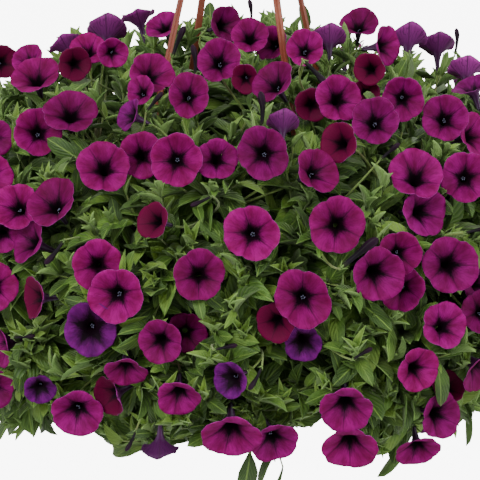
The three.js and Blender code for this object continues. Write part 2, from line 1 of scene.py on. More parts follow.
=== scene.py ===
# A petunia hanging basket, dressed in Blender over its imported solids: magenta trumpets with dark throats, lilac backs
# and striped tubes, on leafy green stems that root in a terracotta plastic pot on its ribbed hanger.

import math
from functools import partial
from itertools import product

import bpy
import numpy as np
from mathutils import Matrix, Vector


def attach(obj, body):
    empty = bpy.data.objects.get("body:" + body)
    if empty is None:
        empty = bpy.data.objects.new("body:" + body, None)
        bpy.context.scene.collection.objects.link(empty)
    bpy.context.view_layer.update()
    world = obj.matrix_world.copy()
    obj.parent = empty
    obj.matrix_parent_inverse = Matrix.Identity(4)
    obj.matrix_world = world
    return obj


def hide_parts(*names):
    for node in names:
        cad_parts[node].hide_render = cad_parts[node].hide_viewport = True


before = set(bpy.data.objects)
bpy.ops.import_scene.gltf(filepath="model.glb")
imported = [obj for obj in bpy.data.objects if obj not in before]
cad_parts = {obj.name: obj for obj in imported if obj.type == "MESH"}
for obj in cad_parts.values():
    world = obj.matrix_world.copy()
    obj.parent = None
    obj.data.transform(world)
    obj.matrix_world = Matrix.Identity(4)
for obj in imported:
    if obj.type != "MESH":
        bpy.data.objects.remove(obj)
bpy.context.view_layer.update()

# ---------------------------------------------------------------- sizes, in millimetres in the rim's frame

HANGER_DROP = 545  # from the hook's seat, which is the origin of the finished object, down to the rim
HOOK_BEND, HOOK_DROP, HOOK_NECK, HUB_HEIGHT, HUB_POCKET = 15, 30, 26, 18, 12
HUB_BOTTOM = HANGER_DROP - HOOK_BEND - HOOK_DROP - HOOK_NECK - HUB_HEIGHT
LEGS, FIRST_LEG, LEG_WIDTH, LEG_TOP_RADIUS = 4, 32, 7, 8  # the first leg's azimuth is in degrees
POT_RIM, POT_BASE, POT_HEIGHT, LIP = 125, 88, 150, 5
LUG_WIDTH, LUG_DEPTH, LUG_HEIGHT = 17, 11, 9
POT_BESIDE, POT_ABOVE, POT_BELOW = 20, 6, 10  # kept free round the pot, for its lip and lugs
SOIL_TOP, SOIL_CROWN = -16, 7

BALL_MIDDLE, BALL_RADIUS, BALL_HALF_HEIGHT, BALL_POWER = -15, 330, 230, 2.4  # the envelope of the open blooms
LOWEST = math.radians(146)  # from the top, below which nothing grows
SPRAYS, SHOOTS = 28, 24  # flowering stems and leafy stems
UNSEEN = 98  # places all round for blooms, of which those in the photograph's view are left out
GAP, STEP = 3.6, 5  # kept between pieces, and between the points of a piece at which that is tested

BLOOM_LENGTH, MOUTH, FLARE, TUBE = 1.72, 0.3, 0.27, 0.15  # shares of the limb's radius
BLOOM_NARROWEST, BLOOM_WIDEST = 27, 54
STEM_ROOT, STALK, BURIED = 2.6, 1.2, 24
STEM_TURNS, STEM_TURN = 30, math.radians(2.5)  # how often a blocked stem tries the next place, and how far off
BLOOM_STEPS, STRAIGHTER = 14, (0, 0.3, 0.6)  # how often a blocked bloom steps back, and then turns outwards
ROOTS_FROM, ROOTS_ACROSS = 8, 92  # the ring of the mix that stems rise from
STEM_RISE, PAST_RIM, OVER_RIM = 44, 20, 28
HANGS_FROM, HANGS_WHOLLY = 0.3, 0.25  # a stem's share of the way down from which it hangs over, and how soon it does
SPRAY_DEPTH, SPRAY_RISE, SHOOT_DEPTH, TWIG_DEPTH = 104, 18, 22, 24  # from the ball's surface to a stem's end
TWIG_SPREAD, TWIG_RADIUS = math.radians(14), 2.6
TWIG_TURNS, LEAF_TURNS = 12, 8  # the ways round that a blocked twig or leaf tries
STEM_LEAVES, TWIG_LEAVES, LEAF_SPACING = 3, 2, 19
LEAF_LONGEST, LEAF_SHORTEST, LEAF_SLENDER = 48, 34, 0.2
LEAF_LEAN, LEAF_LEAN_GROWS = 48, 16  # in degrees, and by how many from one leaf to the next

PHOTO_MIDDLE, PHOTO_DISTANCE, PHOTO_FOCAL, PHOTO_ELEVATION = 240, 2200, 2123, math.radians(18)

# The blooms in the photograph, the nearest first. Each row has the middle of the face in the photograph's pixels,
# its full width in pixels, how far it turns right and tilts up in degrees, and how violet it is, or -1 for one that
# is dark crimson in the shade.
SEEN = [
    (251, 233, 55, -3, 2, 0), (337, 225, 56, 0, 0, 0), (303, 299, 57, 0, -6, 0), (199, 275, 51, 3, 0, 0),
    (263, 153, 52, -3, 0, 0), (176, 160, 52, 0, 0, 0), (103, 166, 52, 0, 15, 0), (70, 111, 50, 3, 27, 0),
    (189, 94, 43, 5, 12, 0), (219, 60, 44, 0, 14, 0), (339, 98, 46, 8, 8, 0), (375, 120, 47, 0, 14, 0),
    (445, 117, 46, 0, 12, 0), (416, 173, 54, 0, 28, 0), (466, 177, 50, 0, 4, 0), (451, 265, 56, 8, 0, 0),
    (379, 275, 55, 20, -12, 0), (115, 296, 55, -8, -8, 0), (51, 200, 53, -20, 32, 0), (77, 414, 49, 0, -24, 0),
    (346, 411, 54, 0, -36, 0), (231, 438, 58, 0, -42, 0), (179, 399, 44, 0, -42, 0), (160, 342, 44, -6, -10, 0),
    (445, 325, 46, 15, 12, 0), (419, 370, 44, 25, -8, 0), (442, 415, 46, 34, -5, 0), (227, 24, 38, 40, 8, 0),
    (305, 47, 38, 0, 22, 0), (359, 22, 38, 0, 38, 0), (388, 45, 40, 52, 5, 0), (250, 35, 38, 0, 25, 0),
    (35, 74, 48, -8, 38, 0), (107, 28, 40, 5, 98, 0.3), (138, 15, 36, -45, 70, 0.2), (153, 72, 46, 22, 28, 0),
    (32, 298, 42, -58, 0, -1), (97, 265, 50, 0, 0, 0), (38, 131, 48, 5, 8, 0), (319, 170, 46, 32, 15, 0),
    (427, 212, 52, 36, 0, 0.2), (338, 142, 40, -28, 8, -1), (272, 80, 46, -28, 32, 0), (403, 99, 43, 0, -6, 0),
    (187, 333, 42, 8, -5, 0), (90, 329, 53, 0, -6, 0.9), (275, 323, 40, -15, -15, -1), (303, 344, 40, 5, -25, 0.8),
    (350, 450, 56, 0, -44, 0), (275, 444, 48, 15, -32, 0), (418, 452, 42, 5, -42, 0), (15, 206, 48, -15, 15, 0),
    (27, 240, 46, -48, 18, 0), (152, 220, 38, -40, 10, -1), (217, 159, 42, 5, 6, 0), (141, 155, 46, 0, 5, 0),
    (75, 64, 33, 10, -5, -1), (27, 57, 34, -20, 35, 0), (2, 62, 34, 15, 0, -1), (64, 42, 34, -60, 60, 0.4),
    (88, 48, 36, 0, 30, 0), (113, 53, 30, 15, -10, 0), (128, 114, 34, -58, 20, 0.5), (140, 90, 30, -20, 10, 0),
    (162, 24, 34, -20, 35, 0), (270, 43, 36, -30, 12, 0), (245, 79, 28, -5, -10, -1), (312, 105, 34, 0, -5, -1),
    (283, 121, 34, -10, 100, 0.4), (329, 36, 34, 5, 100, 0.3), (369, 69, 32, -18, 0, -1), (366, 93, 28, 0, -5, -1),
    (408, 36, 38, -10, 92, 0.4), (437, 43, 36, 20, 92, 0.4), (466, 67, 36, 15, 92, 0), (471, 84, 38, -40, 60, 0.3),
    (476, 135, 44, 45, 10, 0), (400, 254, 44, 10, -5, 0), (403, 290, 44, 0, -15, 0), (484, 312, 44, 10, 5, 0),
    (126, 373, 42, 3, -50, 0), (108, 397, 44, -48, -18, -1), (40, 390, 32, 5, -30, 1), (160, 450, 36, 0, -82, 1),
    (229, 380, 38, -35, -12, 1), (449, 386, 34, 15, 20, -1), (483, 372, 48, 50, -35, 0), (-6, 390, 40, 10, -15, 0),
    (-8, 287, 50, 0, 0, 0), (-10, 176, 44, 10, 0, 0), (-8, 137, 40, 10, 5, 0), (2, 232, 40, 0, 0, 0),
]

# ---------------------------------------------------------------- vectors and draws

GOLDEN = math.pi * (3 - math.sqrt(5))
UP = np.array((0.0, 0.0, 1.0))


def vec(x, y, z):
    return np.array((x, y, z), dtype=float)


def unit(vector):
    return vector / np.linalg.norm(vector)


def mix(a, b, share):
    return a + (b - a) * share


def around(azimuth, radius, z):
    return vec(radius * math.sin(azimuth), -radius * math.cos(azimuth), z)


def seeded(seed):
    """A seeded source of even draws from 0 to 1."""
    state = seed
    while True:
        state = (state * 1664525 + 1013904223) % 4294967296
        yield state / 4294967296


def level_side(direction):
    """A direction square to the given one, as level as can be."""
    guide = vec(0, 1, 0) if abs(direction[2]) > 0.95 else UP
    return unit(np.cross(guide, direction))


# ---------------------------------------------------------------- the ball of blooms and the camera


def ball_level(p):
    """Below 1 inside the ball of blooms, 1 on it, and above 1 outside."""
    across = np.hypot(p[..., 0], p[..., 1]) / BALL_RADIUS
    upright = np.abs(p[..., 2] - BALL_MIDDLE) / BALL_HALF_HEIGHT
    return across**BALL_POWER + upright**BALL_POWER


def ball_point(polar, azimuth):
    level = math.sin(polar) ** BALL_POWER + abs(math.cos(polar)) ** BALL_POWER
    reach = level ** (-1 / BALL_POWER)
    height = BALL_MIDDLE + reach * math.cos(polar) * BALL_HALF_HEIGHT
    return around(azimuth, reach * math.sin(polar) * BALL_RADIUS, height)


def ball_normal(p):
    return unit(np.array([ball_level(p + axis) - ball_level(p - axis) for axis in 0.5 * np.eye(3)]))


CAMERA_BACK = vec(0, -math.cos(PHOTO_ELEVATION), math.sin(PHOTO_ELEVATION))
CAMERA_UP = vec(0, math.sin(PHOTO_ELEVATION), math.cos(PHOTO_ELEVATION))
CAMERA_PLACE = vec(0, 0, BALL_MIDDLE) + PHOTO_DISTANCE * CAMERA_BACK


def ray_through(px, py):
    across = vec((px - PHOTO_MIDDLE) / PHOTO_FOCAL, 0, 0)
    return unit(across + (PHOTO_MIDDLE - py) / PHOTO_FOCAL * CAMERA_UP - CAMERA_BACK)


def meet_ball(ray):
    """How far along a ray it first meets the ball, or else passes nearest to the ball's middle."""
    distances = PHOTO_DISTANCE + BALL_RADIUS * (np.arange(201) / 100 - 1)
    levels = ball_level(CAMERA_PLACE + distances[:, None] * ray)
    inside = np.flatnonzero(levels <= 1)
    return distances[inside[0] if len(inside) else np.argmin(levels)]


def pixel_across(p):
    return PHOTO_MIDDLE + PHOTO_FOCAL * p[0] / np.dot(CAMERA_PLACE - p, CAMERA_BACK)


def pixel_down(p):
    return PHOTO_MIDDLE - PHOTO_FOCAL * np.dot(p - CAMERA_PLACE, CAMERA_UP) / np.dot(CAMERA_PLACE - p, CAMERA_BACK)


def facing(turn, rise):
    """The direction of a face that turns to the right and tilts up from the camera."""
    a, b = math.radians(turn), math.radians(rise)
    level = math.cos(a) * CAMERA_BACK + math.sin(a) * vec(1, 0, 0)
    return math.cos(b) * level + math.sin(b) * CAMERA_UP


# ---------------------------------------------------------------- pieces that keep clear of one another


class Piece:
    """A placed stem, limb or leaf: points spread over it, and a rule for how far points are from it."""

    def __init__(self, kind, owner, points, distance):
        self.kind, self.owner, self.points, self.distance = kind, owner, points, distance
        self.middle = points.mean(axis=0)
        self.reach = np.linalg.norm(points - self.middle, axis=1).max()


def points_between(start, end):
    count = math.ceil(np.linalg.norm(end - start) / STEP)
    return start + (end - start) * np.linspace(0, 1, count + 1)[:, None]


def rod(kind, owner, start, end, radius):
    run = end - start

    def distance(p):
        share = np.clip((p - start) @ run / (run @ run), 0, 1)
        return np.linalg.norm(p - start - share[:, None] * run, axis=1) - radius

    return Piece(kind, owner, points_between(start, end), distance)


def rods(kind, owner, path, radius):
    return [rod(kind, owner, start, end, radius) for start, end in zip(path, path[1:])]


def circle(middle, direction, side, radius, sides):
    angles = 2 * math.pi * np.arange(sides) / sides
    other = np.cross(direction, side)
    return middle + radius * (np.cos(angles)[:, None] * side + np.sin(angles)[:, None] * other)


def limb(owner, face, direction, radius):
    """The limb of a bloom, as the cone from its mouth out to its rim."""
    run = np.array((-(1 - MOUTH) * radius, -FLARE * radius))

    def distance(p):
        offset = p - face
        height = offset @ direction
        out = np.sqrt(np.maximum(0, (offset**2).sum(axis=1) - height**2)) - radius
        share = np.clip((out * run[0] + height * run[1]) / (run @ run), 0, 1)
        return np.hypot(out - share * run[0], height - share * run[1])

    rings = [
        circle(face + share * run[1] * direction, direction, level_side(direction), radius + share * run[0], count)
        for share, count in ((0, 24), (0.35, 15), (0.7, 8))
    ]
    return Piece("bloom", owner, np.vstack(rings), distance)


def leaf_width(share):
    return np.interp(share, (0, 0.34, 0.7, 1), (0.08, 1, 0.74, 0))


def blade(owner, base, way, side, length):
    """A leaf's flat blade."""
    normal, half_width = np.cross(way, side), LEAF_SLENDER * length

    def distance(p):
        offset = p - base
        forward = offset @ way
        past = np.maximum(0, np.maximum(-forward, forward - length))
        aside = np.maximum(0, np.abs(offset @ side) - half_width * leaf_width(np.clip(forward / length, 0, 1)))
        return np.sqrt(past**2 + aside**2 + (offset @ normal) ** 2)

    points = [
        base + share * length * way + edge * half_width * leaf_width(share) * side
        for share in (0.2, 0.34, 0.45, 0.58, 0.7, 0.85, 1)
        for edge in (-1, 0, 1)
    ]
    return Piece("leaf", owner, np.array(points), distance)


class Room:
    """Everything that is already placed, and the test whether a new piece keeps clear of it."""

    def __init__(self):
        self.pieces = []
        self.middles = np.empty((0, 3))
        self.reaches = np.empty(0)

    def add(self, *pieces):
        self.pieces += pieces
        self.middles = np.vstack([self.middles, *[one.middle for one in pieces]])
        self.reaches = np.append(self.reaches, [one.reach for one in pieces])

    def is_clear(self, new):
        spans = np.linalg.norm(self.middles - new.middle, axis=1)
        for k in np.flatnonzero(spans <= self.reaches + new.reach + 3 * GAP):
            other = self.pieces[k]
            kinds = (other.kind, new.kind)
            if other.owner == new.owner and "bloom" not in kinds and "stem" in kinds:
                continue
            if other.distance(new.points).min() <= GAP or new.distance(other.points).min() <= GAP:
                return False
        return True

    def fits(self, pieces):
        return all(not in_pot(one.points).any() and self.is_clear(one) for one in pieces)


def in_pot(p):
    """Whether points are in the room that the pot, its lip and its lugs take up."""
    side = POT_RIM + POT_BESIDE + p[:, 2] * (POT_RIM - POT_BASE) / POT_HEIGHT
    level = (p[:, 2] < POT_ABOVE) & (p[:, 2] > -POT_HEIGHT - POT_BELOW)
    return level & (np.hypot(p[:, 0], p[:, 1]) < side)


# ---------------------------------------------------------------- the plant's layout, by the same rules as its solids


def leg_line(k):
    """A leg's azimuth, the middle of its lug, its pocket in the hub, and the way up from one to the other."""
    azimuth = math.radians(FIRST_LEG + 360 / LEGS * k)
    lug = around(azimuth, POT_RIM + LIP + LUG_DEPTH / 2, -LUG_HEIGHT / 2)
    pocket = around(azimuth, LEG_TOP_RADIUS, HUB_BOTTOM + HUB_POCKET)
    return azimuth, lug, pocket, unit(pocket - lug)


room = Room()
for leg in range(LEGS):
    _, lug, pocket, leg_way = leg_line(leg)
    room.add(rod("stem", "hanger", lug - (LUG_HEIGHT + 2) * leg_way, pocket, 0.7 * LEG_WIDTH))
straps = list(room.pieces)


def stem_route(polar, azimuth, end):
    """A stem rises from the mix, passes over the rim if it is to hang, and ends at a point inside the ball."""
    share = polar / LOWEST
    hanging = min(1, max(0, (share - HANGS_FROM) / HANGS_WHOLLY))
    root = around(azimuth, ROOTS_FROM + ROOTS_ACROSS * share, SOIL_TOP + SOIL_CROWN + 2)
    buried = vec(root[0], root[1], SOIL_TOP - BURIED)
    upright = mix(root + STEM_RISE * UP, end, 0.3)
    crest = mix(upright, around(azimuth, POT_RIM + PAST_RIM, OVER_RIM), hanging)
    shoulder = mix(crest, end, 0.45) + around(azimuth, 28 * hanging, 8 * hanging)
    return [buried, root, crest, shoulder, end]


def spread(count, start):
    """Seeds spread evenly over the ball, from the top down to where the lowest stems hang."""
    for k in range(count):
        yield math.acos(1 - (k + 0.5) / count * (1 - math.cos(LOWEST))), start + k * GOLDEN


def clear_stem(owner, polar, azimuth, depth):
    """A stem on the first route, turned as little as it takes about the pot's axis, that is clear."""
    for step in range(STEM_TURNS):
        turned = azimuth + (-1 if step % 2 else 1) * math.ceil(step / 2) * STEM_TURN
        tip = ball_point(polar, turned)
        route = stem_route(polar, turned, tip - depth * ball_normal(tip))
        pieces = rods("stem", owner, route, STEM_ROOT)
        if not any(in_pot(one.points).any() for one in pieces[2:]) and all(map(room.is_clear, pieces)):
            room.add(*pieces)
            return {"owner": owner, "tip": tip, "route": route, "polar": polar, "azimuth": turned}
    raise ValueError(f"no room for {owner}")


sprays = [
    clear_stem(f"flower_stem_{k + 1}", polar, azimuth, SPRAY_DEPTH - SPRAY_RISE * math.sin(polar)) | {"blooms": []}
    for k, (polar, azimuth) in enumerate(spread(SPRAYS, 0.4))
]
spray_tips = np.array([spray["tip"] for spray in sprays])


def set_bloom(wanted, direction, radius, back, violet):
    """Sets a bloom where it is wanted, or as little further back and as little straighter as it takes to fit."""
    outward = ball_normal(wanted)
    for straighter in STRAIGHTER:
        for step in range(BLOOM_STEPS):
            face = wanted + STEP * step * back
            way = unit(mix(direction, outward, straighter))
            spray = sprays[np.argmin(np.linalg.norm(spray_tips - face, axis=1))]
            base = face - BLOOM_LENGTH * radius * way
            stalk = rod("stem", spray["owner"], spray["route"][-1], base, STALK)
            tube = rod("bloom", spray["owner"], base + STEP * way, face - 0.5 * radius * way, TUBE * radius)
            pieces = [limb(spray["owner"], face, way, radius), tube, stalk]
            if room.fits(pieces):
                room.add(*pieces)
                spray["blooms"].append({"face": face, "way": way, "radius": radius, "base": base, "violet": violet})
                return


for px, py, width, turn, rise, violet in SEEN:
    ray = ray_through(px, py)
    distance = meet_ball(ray)
    across = min(BLOOM_WIDEST, max(BLOOM_NARROWEST, width * distance / PHOTO_FOCAL))
    set_bloom(CAMERA_PLACE + distance * ray, facing(turn, rise), across / 2, ray, violet)
seen_blooms = [bloom for spray in sprays for bloom in spray["blooms"]]

# The blooms all round are each drawn to a place, a size and a way near those of an even spread.
draw = seeded(7)
for polar, azimuth in spread(UNSEEN, 1.1):
    place = ball_point(polar + 0.08 * (next(draw) - 0.5), azimuth + 0.12 * (next(draw) - 0.5))
    outward = ball_normal(place)
    radius = 21 + 5 * next(draw)
    lean = vec(next(draw) - 0.5, next(draw) - 0.5, 0.45 * next(draw))
    sunk = 8 * next(draw)
    if outward @ CAMERA_BACK > -0.1 and abs(pixel_across(place) - PHOTO_MIDDLE) < PHOTO_MIDDLE + 16:
        continue
    set_bloom(place - sunk * outward, unit(outward + 0.9 * lean), radius, -outward, 0.1)

shoots = []
for k, (polar, azimuth) in enumerate(spread(SHOOTS, 2.3)):
    shoot = clear_stem(f"leafy_stem_{k + 1}", polar, azimuth, SHOOT_DEPTH)
    shoulder, end = shoot["route"][-2:]
    start = mix(shoulder, end, 0.15)
    for step in range(TWIG_TURNS):
        angle = 0.3 * math.pi * k + step * 2 * math.pi / TWIG_TURNS
        turned = TWIG_SPREAD * math.sin(angle) / max(0.4, math.sin(shoot["polar"]))
        tip = ball_point(shoot["polar"] + TWIG_SPREAD * math.cos(angle), shoot["azimuth"] + turned)
        twig = [start, tip - TWIG_DEPTH * ball_normal(tip)]
        made = rods("stem", shoot["owner"], twig, TWIG_RADIUS)
        if room.fits(made):
            room.add(*made)
            shoot["twigs"] = [twig]
            break
    shoots.append(shoot)

chance = seeded(11)


def leaves_on(owner, start, end, count):
    """Leaves go round a twig by the golden angle. One that would touch something is turned on, or left out."""
    axis = unit(end - start)
    side = level_side(axis)
    other = np.cross(axis, side)
    for k in range(count):
        base = end - (1 + LEAF_SPACING * k) * axis
        length = LEAF_SHORTEST + (LEAF_LONGEST - LEAF_SHORTEST) * next(chance)
        lean = math.radians(LEAF_LEAN + LEAF_LEAN_GROWS * (k - 1))
        first = 2 * math.pi * next(chance)
        for step in range(LEAF_TURNS):
            angle = first + k * GOLDEN + step * 2 * math.pi / LEAF_TURNS
            out = math.cos(angle) * side + math.sin(angle) * other
            way = math.cos(lean) * axis + math.sin(lean) * out
            leaf = (base, way, unit(np.cross(out, axis)), length)
            made = blade(owner, *leaf)
            if room.fits([made]):
                room.add(made)
                yield leaf
                break


for shoot in shoots:
    axes = [(*shoot["route"][-2:], STEM_LEAVES), *((*twig, TWIG_LEAVES) for twig in shoot.get("twigs", []))]
    shoot["leaves"] = [leaf for axis in axes for leaf in leaves_on(shoot["owner"], *axis)]

# ---------------------------------------------------------------- what the finer plant adds to that layout

# Side twigs that fill the ball out to its leaves: how many, and how deep their tips lie under the ball's surface.
OUTER, INNER, DEEP = (880, 24), (600, 60), (300, 108)
HEM = 432  # the photograph's pixel row that the foliage hangs down to at the front
TWIG_LENGTH, TWIG_LONGEST = 92, 190
TIP_TRIES = 6  # the places near its own that a twig's tip tries
LEAF_KINDS = 4
LEAF_STEP = 11  # along a twig from one leaf to the next
LEAF_LENGTHS, LEAF_SHARES, LEAF_LEANS = (38, 58), (0.36, 0.45), (38, 68)  # a share is of the length, for the width
WAYS_ROUND = 6  # that a leaf tries
YOUNG_LEAVES = (4, 8)  # at a tip, the second left out
YOUNG_LENGTHS, YOUNG_SHARES, YOUNG_LEANS = (15, 33), (0.17, 0.26), (8, 34)
BUD_LENGTHS = (18, 38)
CROWDED = 7  # two leaves' middles are no nearer than this
LEAF_AIR, TWIG_AIR, BUD_AIR = 46, 18, 12  # how far before the middle of a bloom's face these keep away
SPINE = (0.2, 0.4, 0.6, 0.8, 1)  # shares of a leaf's length at which it is tested
SPINE_DROOP = (0.01, 0.03, 0.07, 0.13, 0.2)

# Long closed buds. Each row has the photograph's pixels where the bud leaves its calyx and where its tip is.
BUDS = [
    ((172, 58), (186, 34)), ((195, 76), (193, 51)), ((251, 24), (249, 5)), ((303, 60), (318, 88)),
    ((261, 128), (260, 98)), ((341, 268), (371, 240)), ((455, 54), (453, 34)), ((448, 216), (468, 206)),
    ((464, 233), (484, 229)), ((12, 338), (30, 335)), ((214, 350), (232, 344)), ((451, 408), (470, 406)),
    ((452, 418), (470, 424)), ((146, 112), (162, 100)), ((380, 160), (396, 148)), ((64, 240), (52, 262)),
    ((212, 196), (196, 206)), ((352, 360), (366, 348)), ((262, 366), (250, 384)), ((136, 430), (128, 446)),
]
UNSEEN_BUDS = 46

all_blooms = [bloom for spray in sprays for bloom in spray["blooms"]]
bloom_faces, bloom_ways, bloom_radii = (
    np.array([bloom[what] for bloom in all_blooms]) for what in ("face", "way", "radius")
)

# How deep a bloom's cup is at shares of its radius out from its middle, with room for its wall, waves and folds.
CUP_OUT = (0, 0.14, 0.19, 0.24, 0.32, 0.42, 0.57, 0.74, 0.9, 1.06)
CUP_DEEP = (-1.9, -1.62, -1.34, -1.08, -0.86, -0.72, -0.56, -0.44, -0.36, -0.3)
CUP_EDGE = 1.04
BLOOM_SPAN = 80  # nothing that is further than this from a bloom's face can meet it


def bare(points, air=LEAF_AIR):
    """Whether points keep out of every bloom, out of the open air before its face, and out of pot and straps."""
    near = np.linalg.norm(bloom_faces - points[0], axis=1) < BLOOM_SPAN + np.linalg.norm(points[-1] - points[0])
    radii = bloom_radii[near]
    offsets = points[:, None] - bloom_faces[near]
    heights = np.einsum("pbk,bk->pb", offsets, bloom_ways[near])
    shares = np.sqrt(np.maximum(0, (offsets**2).sum(axis=2) - heights**2)) / radii
    heights = heights / radii
    floors = np.interp(shares, CUP_OUT, CUP_DEEP)
    hit = (shares < CUP_EDGE) & (heights > floors) & (heights * radii < air * (CUP_EDGE - shares))
    clear = ~hit.any(axis=1) & ~in_pot(points)
    for strap in straps:
        clear &= strap.distance(points) > 1
    return clear


seen_faces = np.array([bloom["face"] for bloom in seen_blooms])
seen_spans = np.linalg.norm(seen_faces - CAMERA_PLACE, axis=1)
seen_rays = (seen_faces - CAMERA_PLACE) / seen_spans[:, None]
# a bloom that faces the camera is kept free over 0.85 of its radius, and one seen from the side over 0.35
seen_turns = np.array([abs(bloom["way"] @ CAMERA_BACK) for bloom in seen_blooms])
seen_widths = np.array([bloom["radius"] for bloom in seen_blooms]) * (0.35 + 0.5 * seen_turns)


def hides_bloom(points):
    """Whether anything at these points would stand before a bloom that the photograph shows in the open."""
    offsets = points - CAMERA_PLACE
    along = offsets @ seen_rays.T
    aside = np.sqrt(np.maximum(0, (offsets**2).sum(axis=1)[:, None] - along**2))
    return ((aside < seen_widths) & (along < seen_spans - 3)).any()


def below_hem(point, lower=0):
    """Whether a point is below the ragged lower edge of the foliage, which waves by some pixels, or a lower one."""
    across = pixel_across(point)
    ragged = 13 * math.sin(0.055 * across) + 10 * math.sin(0.17 * across + 1)  # sprays of 114 and tips of 37 pixels
    return pixel_down(point) > HEM + ragged + lower


def bend(start, middle, end, count):
    """Points along the soft curve that a middle point pulls a twig into."""
    share = np.linspace(0, 1, count)[:, None]
    return (1 - share) ** 2 * start + 2 * share * (1 - share) * middle + share**2 * end


def smooth_route(route, count):
    """Points along the soft curve that passes through a stem's own points."""
    route = np.array([2 * route[0] - route[1], *route, 2 * route[-1] - route[-2]])
    curve = []
    for a, b, c, d in zip(route, route[1:], route[2:], route[3:]):
        for share in np.arange(count) / count:
            curve.append(
                0.5 * (2 * b + (c - a) * share + (2 * a - 5 * b + 4 * c - d) * share**2)
                + 0.5 * (3 * b - a - 3 * c + d) * share**3
            )
    return np.array([*curve, route[-2]])


luck = np.random.default_rng(23)
stems = {one["owner"]: one for one in [*sprays, *shoots]}
for stem in stems.values():
    stem["curve"] = np.vstack([stem["route"][:2], smooth_route(stem["route"][1:], 7)[1:]])
    stem["twig_paths"], stem["leaf_marks"], stem["young_marks"], stem["bud_marks"] = [], [], [], []

carriers = [(name, point, k) for name, stem in stems.items() for k, point in enumerate(stem["curve"]) if k > 6]
carrier_points = np.array([point for _, point, _ in carriers])
leaf_cells = {}  # the middles of the leaves that are already there, by the small cube of space that each lies in


def crowded(middle):
    """Whether a leaf's middle is too near to one that is already there. If it isn't, it is noted down."""
    cell = (middle // CROWDED).astype(int)
    for step in product((-1, 0, 1), repeat=3):
        for other in leaf_cells.get(tuple(cell + step), ()):
            if np.linalg.norm(other - middle) < CROWDED:
                return True
    leaf_cells.setdefault(tuple(cell), []).append(middle)
    return False


def carried_by(point):
    """The stem that passes nearest to a point, and where on it."""
    name, _, k = carriers[np.argmin(np.linalg.norm(carrier_points - point, axis=1))]
    return stems[name], k


def twig_to(tip):
    """A twig that leaves the nearest stem forwards and bends out to its tip, or nothing where that is blocked."""
    outward = ball_normal(tip)
    inner = tip - TWIG_LENGTH * unit(outward + 0.5 * UP * max(0, -outward[2] + 0.3))
    stem, k = carried_by(inner)
    start = stem["curve"][k]
    onward = unit(stem["curve"][min(k + 1, len(stem["curve"]) - 1)] - stem["curve"][k - 1])
    reach = np.linalg.norm(tip - start)
    if reach > TWIG_LONGEST:
        return None
    pull = start + 0.4 * reach * unit(onward + 0.6 * outward + 0.35 * UP)
    path = bend(start, pull, tip, 25)
    free = path[5:]  # it may pass close to anything where it leaves its stem
    if not bare(free, TWIG_AIR).all() or hides_bloom(free) or below_hem(tip):
        return None
    return stem, path[::3]


def try_leaf(base, way, face, length, width, kind):
    """A leaf's mark where it is clear of blooms and not on top of another leaf."""
    side = unit(np.cross(face, way))
    up_face = np.cross(way, side)
    spine = base + length * np.outer(SPINE, way)
    spine -= length * np.outer(SPINE_DROOP, up_face)
    edges = np.vstack([spine[:4] + 0.5 * width * side, spine[:4] - 0.5 * width * side])
    proud = 0.86 if spine[-1][2] > 150 else luck.choice((0.94, 1.0, 1.12))  # low at the top, ragged at the sides
    points = np.vstack([spine, edges])
    if ball_level(spine[-1]) > proud or below_hem(spine[-1], luck.normal(0, 10)):
        return None
    if not bare(points).all() or hides_bloom(points) or crowded(spine[2]):
        return None
    return {"base": base, "way": way, "side": side, "face": up_face, "length": length, "width": width, "kind": kind}


def leaves_along(stem, path):
    """Leaves by the golden angle along a twig, smaller towards its tip, with their upper sides to the light."""
    spans = np.linalg.norm(np.diff(path, axis=0), axis=1)
    marks = np.concatenate([[0], np.cumsum(spans)])
    whole = marks[-1]

    def place_at(mark):
        return np.array([np.interp(mark, marks, column) for column in path.T])

    turn = luck.uniform(0, 2 * math.pi)
    for k, mark in enumerate(np.arange(whole - 2, 0.22 * whole, -LEAF_STEP)):
        base = place_at(mark)
        axis = unit(place_at(min(whole, mark + 6)) - place_at(mark - 6))
        side = level_side(axis)
        other = np.cross(axis, side)
        young = max(0, 1 - k / 3)
        upper = np.clip(ball_normal(base)[2], 0, 1)
        length = luck.uniform(*LEAF_LENGTHS) * (1 - 0.15 * upper) * (1 - 0.36 * young)
        width = length * (luck.uniform(*LEAF_SHARES) - 0.1 * upper) * (1 - 0.2 * young)
        lean = math.radians(luck.uniform(*LEAF_LEANS) * (1 - 0.35 * young))
        light = unit(ball_normal(base) + UP)
        for step in range(WAYS_ROUND):
            angle = turn + k * GOLDEN + step * 2 * math.pi / WAYS_ROUND
            out = math.cos(angle) * side + math.sin(angle) * other
            way = unit(math.cos(lean) * axis + math.sin(lean) * out + 0.12 * luck.normal(size=3))
            face = unit(light - (light @ way) * way + 0.3 * luck.normal(size=3))
            leaf = try_leaf(base, way, face, length, width, luck.integers(0, LEAF_KINDS))
            if leaf:
                stem["leaf_marks"].append(leaf)
                break


def young_tuft(stem, tip, axis):
    """Narrow young leaves that stand close together round a growing tip."""
    side = level_side(axis)
    other = np.cross(axis, side)
    turn = luck.uniform(0, 2 * math.pi)
    for k in range(luck.integers(*YOUNG_LEAVES)):
        angle, lean = turn + k * GOLDEN, math.radians(luck.uniform(*YOUNG_LEANS))
        out = math.cos(angle) * side + math.sin(angle) * other
        way = math.cos(lean) * axis + math.sin(lean) * out
        face = unit(axis - (axis @ way) * way) if lean > 0.2 else unit(-out + (out @ way) * way)
        length = luck.uniform(*YOUNG_LENGTHS)
        points = tip + length * np.outer(SPINE, way)
        if bare(points).all() and ball_level(points[-1]) < 1.1 and not hides_bloom(points):
            leaf = {"base": tip, "way": way, "side": unit(np.cross(face, way)), "face": face, "length": length}
            stem["young_marks"].append(leaf | {"width": length * luck.uniform(*YOUNG_SHARES)})


